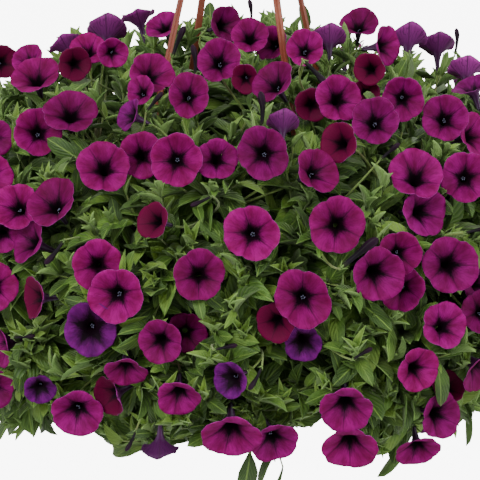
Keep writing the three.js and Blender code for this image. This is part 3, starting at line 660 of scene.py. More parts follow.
for shoot in shoots:  # the leaves that the layout gives are set first, at their full size
    for base, way, side, length in shoot["leaves"]:
        face = np.cross(way, side)
        side, face = (side, face) if face @ (ball_normal(base) + UP) > 0 else (-side, -face)
        leaf = {"base": base, "way": way, "side": side, "face": face, "length": length}
        shoot["leaf_marks"].append(leaf | {"width": 2 * LEAF_SLENDER * length, "kind": 0})
        crowded(base + 0.5 * length * way)
    for start, end in shoot.get("twigs", []):
        shoot["twig_paths"].append(bend(start, (start + end) / 2, end, 3))

for layer, (count, depth) in enumerate((OUTER, INNER, DEEP)):
    for polar, azimuth in spread(count, 5.0 + layer):
        for _ in range(TIP_TRIES):
            turned = azimuth + 0.14 * luck.normal() / max(0.4, math.sin(polar))
            tip = ball_point(min(LOWEST, abs(polar + 0.09 * luck.normal())), turned)
            tip = tip - (depth + luck.uniform(-12, 22) + 12 * max(0, ball_normal(tip)[2])) * ball_normal(tip)
            found = twig_to(tip)
            if found:
                stem, path = found
                stem["twig_paths"].append(path)
                leaves_along(stem, path)
                if layer == 0:
                    young_tuft(stem, path[-1], unit(unit(path[-1] - path[-2]) + 0.7 * UP))
                break
for stem in stems.values():
    leaves_along(stem, stem["curve"][9:])


def set_bud(base, way, length):
    """A bud on a stalk that comes up from inside, from the nearest stem that it has a clear way from."""
    outward = ball_normal(base)
    if not bare(base + length * np.outer((0, 0.25, 0.5, 0.75, 1), way), BUD_AIR).all():
        return
    for k in np.argsort(np.linalg.norm(carrier_points - (base - 45 * outward), axis=1))[:40]:
        name, start, _ = carriers[k]
        pull = base - 0.45 * np.linalg.norm(base - start) * unit(0.4 * way + outward)
        path = bend(start, pull, base, 25)
        if bare(path[3:]).all():
            stems[name]["twig_paths"].append(path[::4])
            stems[name]["bud_marks"].append({"base": base, "way": way, "length": length})
            return


for low, high in BUDS:
    away = meet_ball(ray_through(*low)) - 4
    base, end = (CAMERA_PLACE + away * ray_through(*pixel) for pixel in (low, high))
    set_bud(base, unit(unit(end - base) + 0.35 * ball_normal(base)), 1.1 * np.linalg.norm(end - base) + 4)
for polar, azimuth in spread(UNSEEN_BUDS, 3.9):
    place = ball_point(polar, azimuth)
    outward = ball_normal(place)
    beside = abs(pixel_across(place) - PHOTO_MIDDLE) < PHOTO_MIDDLE
    base = place - 26 * outward
    way = unit(outward + 0.5 * UP + 0.5 * luck.normal(size=3))
    length = luck.uniform(*BUD_LENGTHS)
    if not (outward @ CAMERA_BACK > 0 and beside):
        set_bud(base, way, length)

# ---------------------------------------------------------------- materials

MM = 0.001
PETALS = 5  # grown together into one trumpet, with a crease between each two


def colour(hex_code):
    """An sRGB hex colour as the linear one that Blender mixes."""
    shares = [int(hex_code[k : k + 2], 16) / 255 for k in (1, 3, 5)]
    return (*((c / 12.92 if c <= 0.04045 else ((c + 0.055) / 1.055) ** 2.4) for c in shares), 1)


def node(material, kind, inputs=(), stops=(), **settings):
    """Adds a node with its settings. An input is a plain value, an output, or a node for its first output."""
    made = material.node_tree.nodes.new("ShaderNode" + kind)
    for name, value in settings.items():
        setattr(made, name, value)
    for name, value in dict(inputs).items():
        if isinstance(value, bpy.types.Node):
            value = value.outputs[0]
        if isinstance(value, bpy.types.NodeSocket):
            material.node_tree.links.new(value, made.inputs[name])
        else:
            made.inputs[name].default_value = value
    for k, (place, tint) in enumerate(stops):
        ramp = made.color_ramp.elements
        element = ramp[k] if k < 2 else ramp.new(place)
        element.position, element.color = place, colour(tint)
    return made


def finish(name, recipe, *choices):
    """A material by its name. Its recipe is given the function that adds nodes, and gives back the surface."""
    material = bpy.data.materials.new(name)
    material.use_nodes = True
    material.node_tree.nodes.clear()
    add = partial(node, material)
    add("OutputMaterial", {"Surface": recipe(add, *choices)})
    return material


def petal_creases(add):
    """The angle round a flattened petal, the place on it, how far out that is, and how near to a crease."""
    place = add("Attribute", attribute_name="petal")
    parts = add("SeparateXYZ", {"Vector": place.outputs["Vector"]})
    angle = add("Math", {0: parts.outputs["Y"], 1: parts.outputs["X"]}, operation="ARCTAN2")
    flat = add("CombineXYZ", {"X": parts.outputs["X"], "Y": parts.outputs["Y"]})
    out = add("VectorMath", {0: flat}, operation="LENGTH").outputs["Value"]
    half_turns = add("Math", {0: angle, 1: PETALS / 2}, operation="MULTIPLY")
    crease = add("Math", {0: add("Math", {0: half_turns}, operation="SINE")}, operation="ABSOLUTE")
    return angle, flat, out, crease


def petal_veins(add, angle, flat):
    """28 fine veins that run out from the throat and wander a little."""
    wander = add("TexNoise", {"Vector": flat, "Scale": 5.0, "Detail": 2.0})
    veined = add("Math", {0: angle, 1: 14.0}, operation="MULTIPLY")
    swayed = add("Math", {0: wander, 1: 9.0, 2: veined}, operation="MULTIPLY_ADD")
    return add("Math", {0: add("Math", {0: swayed}, operation="SINE")}, operation="ABSOLUTE")


def own_nature(add):
    """What each copy has for itself: X its violet or its age, Y its own shade, Z whether it is painted in shade as
    crimson.
    """
    nature = add("Attribute", attribute_name="nature")
    return add("SeparateXYZ", {"Vector": nature.outputs["Vector"]}).outputs


def petal_face(add):
    """Fresh petunia petal, upper side. Its cone-shaped cells give a velvety magenta that dulls at a glance, with
    five dark creases, faint veins and a throat of nearly black purple."""
    angle, flat, out, crease = petal_creases(add)
    veins, own = petal_veins(add, angle, flat), own_nature(add)
    cloudy = add("TexNoise", {"Vector": flat, "Scale": 2.2, "Detail": 3.0})
    magenta = add("ValToRGB", {"Fac": cloudy}, stops=((0.3, "#5c0032"), (0.72, "#880064"), (0.5, "#72004e")))
    violet = add("ValToRGB", {"Fac": cloudy}, stops=((0.3, "#34003e"), (0.72, "#6c0870")))
    hue = add("MixRGB", {"Fac": own["X"], "Color1": magenta, "Color2": violet})
    # painted shade: a bloom that stands in shadow is given a dark crimson
    hue = add("MixRGB", {"Fac": own["Z"], "Color1": hue, "Color2": colour("#56002c")})
    veiny = add("MapRange", {"Value": veins, "From Min": 0.0, "From Max": 0.55, "To Min": 0.3, "To Max": 0.0})
    hue = add("MixRGB", {"Fac": veiny, "Color1": hue, "Color2": colour("#420026")})
    # a crease is about 1.2 mm wide at the throat and dies away before the rim of a 50 mm bloom
    line = add("MapRange", {"Value": crease, "From Min": 0.02, "From Max": 0.15, "To Min": 0.9, "To Max": 0.0})
    fade = add("MapRange", {"Value": out, "From Min": 0.55, "From Max": 0.98, "To Min": 1.0, "To Max": 0.3})
    deep = add("Math", {0: line, 1: fade}, operation="MULTIPLY")
    hue = add("MixRGB", {"Fac": deep, "Color1": hue, "Color2": colour("#30001c")})
    # the throat's dark runs out along the creases, to a star with ragged points
    ragged = add("TexNoise", {"Vector": flat, "Scale": 14.0, "Detail": 2.0})
    reach = add("Math", {0: crease, 1: 0.15, 2: out}, operation="MULTIPLY_ADD")
    edge = add("Math", {0: ragged, 1: -0.22, 2: reach}, operation="MULTIPLY_ADD")
    wider = add("Math", {0: own["X"], 1: -0.14, 2: edge}, operation="MULTIPLY_ADD")
    throat = add("MapRange", {"Value": wider, "From Min": 0.48, "From Max": 0.67, "To Min": 1.0, "To Max": 0.0})
    hue = add("MixRGB", {"Fac": throat, "Color1": hue, "Color2": colour("#120410")})
    # painted shade darkens a limb round its throat, and painted light brightens it towards its thin rim
    painted_throat_shade = add("MapRange", {"Value": out, "From Min": 0.5, "From Max": 0.95, "To Min": 0.6, "To Max": 1.12})
    shade = add("MapRange", {"Value": own["Y"], "To Min": 0.66, "To Max": 1.12})
    lit = add("Math", {0: painted_throat_shade, 1: shade}, operation="MULTIPLY")
    velvet = {"Sheen Weight": 0.04, "Sheen Roughness": 0.45, "Sheen Tint": colour("#c01890")}
    skin = {
        "Base Color": add("HueSaturation", {"Value": lit, "Color": hue}), "Roughness": 0.65, "Specular IOR Level": 0.07,
        "Normal": add("Bump", {"Height": veins, "Strength": 0.25, "Distance": 0.0004}),
    }
    return add("BsdfPrincipled", skin | velvet)


def petal_back(add):
    """The same petal from outside: thinner colour, lilac on the limb, with veins that darken and close up into the
    stripes of the grey-purple tube."""
    angle, flat, out, crease = petal_creases(add)
    veins, own = petal_veins(add, angle, flat), own_nature(add)
    lilac = ((0.0, "#4a4730"), (1.0, "#962e86"), (0.16, "#2c1c2c"), (0.46, "#381436"), (0.66, "#74286c"))
    hue = add("ValToRGB", {"Fac": out}, stops=lilac)
    hue = add("MixRGB", {"Fac": own["X"], "Color1": hue, "Color2": colour("#481048")})
    # the tube has five broad stripes, paler where it bulges
    pale = add("MapRange", {"Value": crease, "From Min": 0.55, "From Max": 1.0, "To Min": 0.0, "To Max": 0.55})
    tube = add("MapRange", {"Value": out, "From Min": 0.1, "From Max": 0.62, "To Min": 1.0, "To Max": 0.0})
    striped = add("Math", {0: pale, 1: tube}, operation="MULTIPLY")
    hue = add("MixRGB", {"Fac": striped, "Color1": hue, "Color2": colour("#7c7688")})
    veiny = add("MapRange", {"Value": veins, "From Min": 0.05, "From Max": 0.5, "To Min": 0.6, "To Max": 0.0})
    hue = add("MixRGB", {"Fac": veiny, "Color1": hue, "Color2": colour("#2a1030")})
    line = add("MapRange", {"Value": crease, "From Min": 0.03, "From Max": 0.2, "To Min": 0.8, "To Max": 0.0})
    hue = add("MixRGB", {"Fac": line, "Color1": hue, "Color2": colour("#3b1238")})
    shade = add("MapRange", {"Value": own["Y"], "To Min": 0.7, "To Max": 1.15})
    velvet = {"Sheen Weight": 0.08, "Sheen Roughness": 0.4, "Sheen Tint": colour("#c080cc")}
    skin = {
        "Base Color": add("HueSaturation", {"Value": shade, "Color": hue}), "Roughness": 0.55,
        "Specular IOR Level": 0.15, "Normal": add("Bump", {"Height": veins, "Strength": 0.4, "Distance": 0.0005}),
    }
    return add("BsdfPrincipled", skin | velvet)


def bud_skin(add):
    """A closed bud: plum-black petals rolled in a long twist, with paler grey-green seams and a dull bloom."""
    _, _, out, crease = petal_creases(add)
    plum = ((0.0, "#343a20"), (1.0, "#22081f"), (0.2, "#17121a"), (0.5, "#100911"))
    ground = add("ValToRGB", {"Fac": out}, stops=plum)
    stripe = add("MapRange", {"Value": crease, "From Min": 0.95, "From Max": 1.0, "To Min": 0.0, "To Max": 0.25})
    hue = add("MixRGB", {"Fac": stripe, "Color1": ground, "Color2": colour("#3a3d34")})
    ribs = add("Bump", {"Height": crease, "Strength": 0.5, "Distance": 0.0006})
    skin = {"Base Color": hue, "Roughness": 0.55, "Specular IOR Level": 0.08, "Normal": ribs}
    return add("BsdfPrincipled", skin)


def pollen(add):
    """Ripe anthers: soft grains of pale blue-grey pollen over yellow-white sacs, matte as chalk."""
    spot = add("TexCoord").outputs["Object"]
    grain = add("TexNoise", {"Vector": spot, "Scale": 2500.0})  # 0.4 mm clumps of pollen
    hue = add("ValToRGB", {"Fac": grain}, stops=((0.3, "#34364a"), (0.7, "#6e7088")))
    return add("BsdfPrincipled", {"Base Color": hue, "Roughness": 0.9})


def leaf_skin(add, dark, middle, light, rib, dull):
    """Petunia leaf: soft green tissue with a paler midrib, and short sticky hairs all over that frost its edges."""
    place = add("Attribute", attribute_name="leaf")
    parts = add("SeparateXYZ", {"Vector": place.outputs["Vector"]})
    across = add("Math", {0: parts.outputs["X"]}, operation="ABSOLUTE")
    own = own_nature(add)
    spot = add("TexCoord").outputs["Object"]
    # the green drifts over about 25 mm, a leaf's length, and mottles over about 4 mm
    drift = add("TexNoise", {"Vector": spot, "Scale": 40.0, "Detail": 1.0})
    mottle = add("TexNoise", {"Vector": spot, "Scale": 260.0, "Detail": 2.0})
    mixed = add("Math", {0: mottle, 1: 0.35, 2: drift}, operation="MULTIPLY_ADD")
    aged = add("Math", {0: own["X"], 1: 0.5, 2: mixed}, operation="MULTIPLY_ADD")
    ground = add("ValToRGB", {"Fac": aged}, stops=((0.5, dark), (1.15, light), (0.8, middle)))
    ribbed = add("MapRange", {"Value": across, "From Min": 0.02, "From Max": 0.13, "To Min": 0.7, "To Max": 0.0})
    hue = add("MixRGB", {"Fac": ribbed, "Color1": ground, "Color2": colour(rib)})
    # six pairs of side veins slant forwards from the midrib
    slant = add("Math", {0: across, 1: -0.55, 2: parts.outputs["Y"]}, operation="MULTIPLY_ADD")
    wave = add("Math", {0: add("Math", {0: slant, 1: 38.0}, operation="MULTIPLY")}, operation="SINE")
    vein = add("MapRange", {"Value": wave, "From Min": 0.86, "From Max": 1.0, "To Min": 0.0, "To Max": 0.3})
    hue = add("MixRGB", {"Fac": vein, "Color1": hue, "Color2": colour(rib)})
    shade = add("MapRange", {"Value": own["Y"], "To Min": 0.72, "To Max": 1.2})
    frost = {"Sheen Weight": 0.15, "Sheen Roughness": 0.5, "Sheen Tint": colour("#d8e8b8")}
    skin = {
        "Base Color": add("HueSaturation", {"Value": shade, "Color": hue}), "Roughness": dull,
        "Specular IOR Level": 0.3, "Normal": add("Bump", {"Height": wave, "Strength": 0.35, "Distance": 0.0005}),
    }
    return add("BsdfPrincipled", skin | frost)


def stem_skin(add):
    """Young petunia stem: yellow-green and juicy, with a downy frosting of sticky hairs and a purple flush in
    places."""
    spot = add("TexCoord").outputs["Object"]
    flush = add("TexNoise", {"Vector": spot, "Scale": 30.0, "Detail": 2.0})  # drifts over about 30 mm
    hue = add("ValToRGB", {"Fac": flush}, stops=((0.3, "#3c5420"), (0.75, "#55462e"), (0.55, "#6a8238")))
    hairs = add("TexNoise", {"Vector": spot, "Scale": 1600.0, "Detail": 1.0})  # tufts of 0.6 mm hairs
    down = add("Bump", {"Height": hairs, "Strength": 0.5, "Distance": 0.0003})
    frost = {"Sheen Weight": 0.4, "Sheen Tint": colour("#eaf2c8")}
    return add("BsdfPrincipled", {"Base Color": hue, "Roughness": 0.6, "Normal": down} | frost)


def terracotta_plastic(add):
    """Moulded polypropylene in terracotta: an even satin skin with fine grain, a little chalky where sun and water
    have dulled it."""
    spot = add("TexCoord").outputs["Object"]
    cloudy = add("TexNoise", {"Vector": spot, "Scale": 28.0, "Detail": 4.0})  # blotches of about 35 mm
    hue = add("ValToRGB", {"Fac": cloudy}, stops=((0.3, "#682a19"), (0.78, "#8a4f3a"), (0.58, "#783824")))
    grain = add("TexNoise", {"Vector": spot, "Scale": 1800.0, "Detail": 2.0})  # 0.5 mm mould grain
    fine = add("Bump", {"Height": grain, "Strength": 0.25, "Distance": 0.0002})
    dulled = add("MapRange", {"Value": cloudy, "To Min": 0.38, "To Max": 0.62})
    return add("BsdfPrincipled", {"Base Color": hue, "Roughness": dulled, "IOR": 1.49, "Normal": fine})


def potting_mix(add):
    """Damp peat and bark potting mix: crumbs of dark brown in a loose, lightless surface with paler fibres."""
    spot = add("TexCoord").outputs["Object"]
    crumbs = add("TexVoronoi", {"Vector": spot, "Scale": 330.0})  # crumbs of about 3 mm
    bark = ((0.1, "#1c130d"), (0.95, "#6a4a30"), (0.7, "#38261a"))
    hue = add("ValToRGB", {"Fac": crumbs.outputs["Color"]}, stops=bark)
    loose = add("Bump", {"Height": crumbs.outputs["Distance"], "Strength": 0.9, "Distance": 0.002})
    return add("BsdfPrincipled", {"Base Color": hue, "Roughness": 0.95, "Normal": loose})


def perlite(add):
    """Perlite: popped volcanic glass, white, dull and full of pores."""
    spot = add("TexCoord").outputs["Object"]
    pores = add("TexVoronoi", {"Vector": spot, "Scale": 1500.0}).outputs["Distance"]  # pores of about 0.7 mm
    hue = add("ValToRGB", {"Fac": pores}, stops=((0.0, "#b8b2a6"), (0.6, "#eeebe4")))
    pitted = add("Bump", {"Height": pores, "Strength": 0.6, "Distance": 0.0003})
    return add("BsdfPrincipled", {"Base Color": hue, "Roughness": 0.9, "Normal": pitted})


PETAL_FACE = finish("velvety petunia petal", petal_face)
PETAL_BACK = finish("lilac petal back and striped tube", petal_back)
BUD = finish("rolled plum bud", bud_skin)
POLLEN = finish("blue-grey pollen", pollen)
LEAF_TOP = finish("soft green leaf", leaf_skin, "#27420e", "#43641b", "#627f2c", "#74923f", 0.55)
LEAF_UNDER = finish("pale leaf underside", leaf_skin, "#3c5626", "#547236", "#6c8a48", "#809a5c", 0.75)
STEM_SKIN = finish("downy green stem", stem_skin)
PLASTIC = finish("satin terracotta polypropylene", terracotta_plastic)
MIX = finish("damp peat and bark crumbs", potting_mix)
PERLITE = finish("popped perlite", perlite)

# ---------------------------------------------------------------- modelling by hand


def in_row(p):
    """A place given in millimetres in the rim's frame, in metres in the finished object's frame."""
    return Vector((p[0], p[1], p[2] - HANGER_DROP)) * MM


def start_fresh():
    """Leaves edit mode behind and nothing selected, so that the next operator acts on the new piece alone."""
    if bpy.context.object and bpy.context.object.mode != "OBJECT":
        bpy.ops.object.mode_set(mode="OBJECT")
    bpy.ops.object.select_all(action="DESELECT")


def take(*pieces):
    """Selects these pieces and nothing else, with the first of them active."""
    start_fresh()
    for piece in pieces:
        piece.select_set(True)
    bpy.context.view_layer.objects.active = pieces[0]


def named(name, *materials):
    """Names the piece being made and gives it its materials."""
    piece = bpy.context.object
    piece.name = piece.data.name = name
    for material in materials:
        piece.data.materials.append(material)
    return piece


def apply_modifier(piece, kind, **settings):
    modifier = piece.modifiers.new(kind.lower(), kind)
    for name, value in settings.items():
        setattr(modifier, name, value)
    bpy.context.view_layer.objects.active = piece
    bpy.ops.object.modifier_apply(modifier=modifier.name)


def places_of(piece):
    places = np.empty(3 * len(piece.data.vertices))
    piece.data.vertices.foreach_get("co", places)
    return places.reshape(-1, 3)


def put_places(piece, places):
    piece.data.vertices.foreach_set("co", np.ascontiguousarray(places, dtype=float).ravel())
    piece.data.update()


def mark(piece, name, rows):
    """Stores a value for each vertex, for the materials to read."""
    layer = piece.data.attributes.new(name, "FLOAT_VECTOR", "POINT")
    layer.data.foreach_set("vector", np.ascontiguousarray(rows, dtype=float).ravel())


def raised_rings(sides, profile, **closing):
    """A turned shell: a circle at the profile's first radius and height, extruded and resized through the rest."""
    start_fresh()
    (radius, height), *rest = profile
    bpy.ops.mesh.primitive_circle_add(vertices=sides, radius=radius, location=(0, 0, height), **closing)
    bpy.ops.object.transform_apply(location=True, rotation=False, scale=False)
    bpy.ops.object.mode_set(mode="EDIT")
    bpy.ops.mesh.select_all(action="SELECT")
    for next_radius, next_height in rest:
        bpy.ops.mesh.extrude_region_move(TRANSFORM_OT_translate={"value": (0, 0, next_height - height)})
        growth = next_radius / radius
        bpy.ops.transform.resize(value=(growth, growth, 1))
        radius, height = next_radius, next_height
    return bpy.context.object


def outwards():
    """Turns the faces of the piece in edit mode outwards, and ends edit mode."""
    bpy.ops.mesh.select_all(action="SELECT")
    bpy.ops.mesh.normals_make_consistent(inside=False)
    bpy.ops.object.mode_set(mode="OBJECT")


def join(pieces, name):
    """Joins pieces into the first of them."""
    take(*pieces)
    bpy.ops.object.join()
    pieces[0].name = pieces[0].data.name = name
    return pieces[0]


def frame_of(base, x_axis, y_axis, z_axis, sizes):
    """The matrix that puts a form with its own X, Y and Z along three directions, at a size along each."""
    columns = [axis * size * MM for axis, size in zip((x_axis, y_axis, z_axis), sizes)]
    matrix = Matrix([[column[row] for column in columns] for row in range(3)]).to_4x4()
    matrix.translation = in_row(base)
    return matrix


TO_FINISHED = frame_of((0, 0, 0), *np.eye(3), (1, 1, 1))  # from millimetres in the rim's frame


def copied(form, matrix, nature, warp=(0, 0, 0)):
    """A copy of a form with a mesh of its own, set in place, with what is its own in this copy. A warp stretches it
    across and bends its rim."""
    copy = bpy.data.objects.new(form.name, form.data.copy())
    if any(warp):
        places = places_of(copy)
        x, y = places[:, 0].copy(), places[:, 1].copy()
        places[:, 0] *= 1 + warp[0]
        places[:, 1] *= 1 - warp[0]
        places[:, 2] += warp[1] * (x**2 - y**2) + warp[2] * x * y
        put_places(copy, places)
    copy.data.transform(matrix)
    mark(copy, "nature", np.tile(nature, (len(copy.data.vertices), 1)))
    bpy.context.collection.objects.link(copy)
    return copy


# ---------------------------------------------------------------- blooms, buds and calyxes

# A bloom of unit radius faces +Z, with the middle of its rim at the origin. Radius and height up the tube, round
# the throat and out over the limb.
BLOOM_PROFILE = (
    (0.003, -1.73), (0.07, -1.71), (0.1, -1.42), (0.14, -1.08), (0.19, -0.8), (0.27, -0.58),
    (0.37, -0.42), (0.53, -0.27), (0.71, -0.16), (0.88, -0.07), (1.0, 0.0),
)


def petal_places(angle, out):
    """Each point's place on the petals laid flat, which keeps its way round and how far out it is."""
    return np.stack([out * np.cos(angle), out * np.sin(angle), out], axis=1)


def bloom_form(name, cup, wave, nod, phase, anthers):
    """A trumpet: a turned tube and limb that is then creased, notched and waved, with a thin wall, and perhaps with
    anthers down its throat."""
    bloom = raised_rings(7 * PETALS, BLOOM_PROFILE)
    outwards()
    named(name, PETAL_BACK, PETAL_FACE)
    places = places_of(bloom)
    heights = [height for _, height in BLOOM_PROFILE]
    angle = np.arctan2(places[:, 1], places[:, 0])
    out = np.interp(places[:, 2], heights, np.linspace(0, 1, len(heights)))
    mark(bloom, "petal", petal_places(angle, out))
    crease = np.abs(np.sin(PETALS / 2 * angle))
    limb_out = np.clip((out - 0.5) / 0.5, 0, 1)  # from 0 at the throat to 1 at the rim
    wavy = wave * (np.sin(5 * angle + phase) + 0.6 * np.sin(3 * angle + 2 * phase) + 0.35 * np.sin(11 * angle + phase))
    frilled = 0.012 * np.sin(17 * angle + phase) + 0.03 * np.sin(2 * angle + phase)
    stretch = 1 + limb_out**2 * (0.045 * crease - 0.07 * (1 - crease) ** 3 + frilled)
    places[:, 2] = places[:, 2] * (1 + cup * limb_out) - 0.08 * (1 - crease) ** 2 * np.sin(math.pi * limb_out**0.7)
    places[:, 2] += limb_out**2 * wavy - 0.05 * limb_out**4 * crease + nod * limb_out * places[:, 0]
    places[:, :2] *= stretch[:, None]
    put_places(bloom, places)
    apply_modifier(bloom, "SOLIDIFY", thickness=0.018, offset=-1, material_offset=1, material_offset_rim=0)
    bpy.ops.object.shade_smooth()
    if not anthers:
        return bloom
    sacs = []
    for k in range(PETALS):
        start_fresh()
        turn = 2 * math.pi * k / PETALS + phase
        place = (0.06 * math.cos(turn) + 0.04, 0.06 * math.sin(turn), -0.62 - 0.05 * k)
        bpy.ops.mesh.primitive_ico_sphere_add(subdivisions=1, radius=0.036, location=place, scale=(0.7, 1, 0.6))
        bpy.ops.object.transform_apply(location=True, rotation=True, scale=True)
        bpy.ops.object.shade_smooth()
        sacs.append(named("anther", POLLEN))
    return join([bloom, *sacs], name)


# A bud of unit length stands on the origin. Radius and height, from its slim tube to its fuller, pointed tip.
BUD_PROFILE = (
    (0.034, 0), (0.05, 0.12), (0.055, 0.35), (0.07, 0.56), (0.1, 0.74), (0.092, 0.89), (0.045, 0.975), (0.004, 1),
)


def bud_form(name, twist):
    """A closed bud, with its petals rolled round one another."""
    bud = raised_rings(2 * PETALS, BUD_PROFILE, fill_type="NGON")
    outwards()
    named(name, BUD)
    places = places_of(bud)
    out = places[:, 2]
    angle = np.arctan2(places[:, 1], places[:, 0]) + twist * out
    mark(bud, "petal", petal_places(angle, out))
    pleat = 1 + 0.16 * out * (np.abs(np.sin(PETALS / 2 * angle)) - 0.6)
    places[:, :2] *= pleat[:, None]
    places[:, 0] += 0.05 * np.sin(math.pi * out)
    put_places(bud, places)
    bpy.ops.object.shade_smooth()
    return bud


def strap_leaf(name, rows, outline, fold, droop, curl, thickness):
    """A leaf of unit length along +Y and unit width, with its upper side up: a grid drawn in to its outline, merged
    at the tip, folded along the midrib and bent back."""
    start_fresh()
    bpy.ops.mesh.primitive_grid_add(x_subdivisions=2, y_subdivisions=rows, size=1, location=(0, 0.5, 0))
    bpy.ops.object.transform_apply(location=True, rotation=False, scale=False)
    leaf = named(name, LEAF_TOP, LEAF_UNDER)
    places = places_of(leaf)
    places[:, 1] = 1 - np.clip(1 - places[:, 1], 0, 1) ** 1.3  # closer rows towards the tip round it off
    mark(leaf, "leaf", np.stack([2 * places[:, 0], places[:, 1], 0 * places[:, 0]], axis=1))
    along = places[:, 1].copy()
    places[:, 0] *= np.interp(along, *zip(*outline))
    across = np.abs(places[:, 0])
    places[:, 2] = fold * across + curl * across * np.sin(7 * along) + 0.02 * np.sin(math.pi * along) - droop * along**2
    places[:, 1] -= 0.5 * droop**2 * along**3
    put_places(leaf, places)
    bpy.ops.object.mode_set(mode="EDIT")
    bpy.ops.mesh.select_all(action="SELECT")
    bpy.ops.mesh.remove_doubles(threshold=0.012)
    bpy.ops.object.mode_set(mode="OBJECT")
    apply_modifier(leaf, "SOLIDIFY", thickness=thickness, offset=-1, material_offset=1, material_offset_rim=1)
    bpy.ops.object.shade_smooth()
    return leaf


# Half of a leaf's outline: shares of its length, and how wide it is there.
OVATE = (
    (0, 0.12), (0.1, 0.34), (0.21, 0.64), (0.41, 0.97), (0.5, 1.0), (0.6, 0.98), (0.76, 0.86), (0.9, 0.58), (1, 0.0),
)
LANCE = ((0, 0.3), (0.3, 0.9), (0.55, 1.0), (0.8, 0.6), (1, 0.0))


def calyx_form():
    """Five narrow sepals that stand round a bloom's tube, in the bloom's own unit frame."""
    sepals = []
    for k in range(PETALS):
        sepal = strap_leaf("sepal", 3, LANCE, 0.3, 0.12, 0, 0.03)
        turn = Matrix.Rotation(2 * math.pi * k / PETALS, 4, "Z") @ Matrix.Translation((0, 0.055, -1.8))
        lean = Matrix.Rotation(math.radians(62), 4, "X") @ Matrix.Diagonal((0.13, 0.56, 0.4, 1))
        sepal.data.transform(turn @ lean)
        sepals.append(sepal)
    start_fresh()
    bpy.ops.mesh.primitive_ico_sphere_add(subdivisions=1, radius=0.085, location=(0, 0, -1.83))
    bpy.ops.object.transform_apply(location=True, rotation=False, scale=False)
    return join([*sepals, named("calyx_cup", STEM_SKIN)], "calyx")


# Each bloom's name, how far its limb cups, waves and nods, where its waves begin, and whether its anthers show.
BLOOMS = [
    bloom_form(*bloom)
    for bloom in (
        ("bloom_flat", -0.3, 0.022, 0.04, 0.0, False), ("bloom_cupped", 0.3, 0.03, 0.1, 1.3, True),
        ("bloom_waved", 0.0, 0.05, 0.0, 2.6, False), ("bloom_even", -0.1, 0.026, 0.06, 4.1, False),
        ("bloom_deep", 0.5, 0.036, 0.08, 5.2, True),
    )
]
LAID_BACK = bloom_form("bloom_laid_back", 0.25, 0.05, 0.46, 0.7, False)
BUD_FORMS = [bud_form("bud_straight", 0.7), bud_form("bud_twisted", 1.6)]
CALYX = calyx_form()
# Each leaf's name, and how far it folds, droops and curls.
LEAVES = [
    strap_leaf(name, 6, OVATE, fold, droop, curl, 0.014)
    for name, fold, droop, curl in (
        ("leaf_flat", 0.16, 0.12, 0.02), ("leaf_arched", 0.3, 0.34, 0.05),
        ("leaf_waved", 0.22, 0.2, 0.13), ("leaf_folded", 0.5, 0.26, 0.03),
    )
]
YOUNG = strap_leaf("young_leaf", 4, LANCE, 0.45, 0.1, 0.02, 0.03)

# ---------------------------------------------------------------- stems and what they carry

STEM_TAPER, TWIG_TAPER, STALK_TAPER = (2.5, 1.5), (1.3, 0.8), (1.3, 1.1)  # radii at root and tip
BUD_CALYX = 0.34  # a bud's calyx is that of a bloom whose radius is this share of the bud's length


def tubes(name, lines):
    """Round stems along lines of points, each with its own taper, as one curve that is then made a mesh."""
    curve = bpy.data.curves.new(name, "CURVE")
    curve.dimensions, curve.bevel_depth, curve.bevel_resolution, curve.use_fill_caps = "3D", MM, 1, True
    for points, radius_from, radius_to in lines:
        spline = curve.splines.new("POLY")
        spline.points.add(len(points) - 1)
        rows = [(*in_row(point), 1) for point in points]
        spline.points.foreach_set("co", np.ravel(rows))
        spline.points.foreach_set("radius", np.linspace(radius_from, radius_to, len(points)))
    piece = bpy.data.objects.new(name, curve)
    bpy.context.collection.objects.link(piece)
    take(piece)
    bpy.ops.object.convert(target="MESH")
    bpy.ops.object.shade_smooth()
    return named(name, STEM_SKIN)


def leaf_copy(form, leaf, nature):
    """A leaf form at its base, with its own way, upper side, length and width."""
    sizes = (leaf["width"], leaf["length"], leaf["length"])
    return copied(form, frame_of(leaf["base"], leaf["side"], leaf["way"], leaf["face"], sizes), nature)


def bloom_matrix(bloom, roll):
    """The matrix that puts a form of unit radius on a bloom's face, rolled about its own axis."""
    side = level_side(bloom["way"])
    x_axis = math.cos(roll) * side + math.sin(roll) * np.cross(bloom["way"], side)
    return frame_of(bloom["face"], x_axis, np.cross(bloom["way"], x_axis), bloom["way"], [bloom["radius"]] * 3)


def stem_greens(name, stem):
    """A stem with its twigs, stalks, calyxes and leaves."""
    lines = [(stem["curve"], *STEM_TAPER)]
    lines += [(path, *TWIG_TAPER) for path in stem["twig_paths"]]
    node_place = stem["route"][-1]
    for bloom in stem.get("blooms", []):
        base, way = bloom["base"], bloom["way"]
        bow = base - 0.35 * np.linalg.norm(base - node_place) * way
        lines.append((bend(node_place, bow, base, 8), *STALK_TAPER))
    pieces = [tubes(name, lines)]
    for leaf in stem["leaf_marks"]:
        pieces.append(leaf_copy(LEAVES[leaf["kind"]], leaf, (luck.normal(0, 0.3), luck.uniform(), 0)))
    for leaf in stem["young_marks"]:
        pieces.append(leaf_copy(YOUNG, leaf, (0.6, luck.uniform(0.3, 1), 0)))
    for bloom in stem.get("blooms", []):
        pieces.append(copied(CALYX, bloom_matrix(bloom, bloom["roll"]), (0.3, luck.uniform(), 0)))
    for bud in stem["bud_marks"]:
        size = BUD_CALYX * bud["length"]
        as_bloom = {"face": bud["base"] + BLOOM_LENGTH * size * bud["way"], "way": bud["way"], "radius": size}
        pieces.append(copied(CALYX, bloom_matrix(as_bloom, 0), (0.3, luck.uniform(), 0)))
    return join(pieces, name)


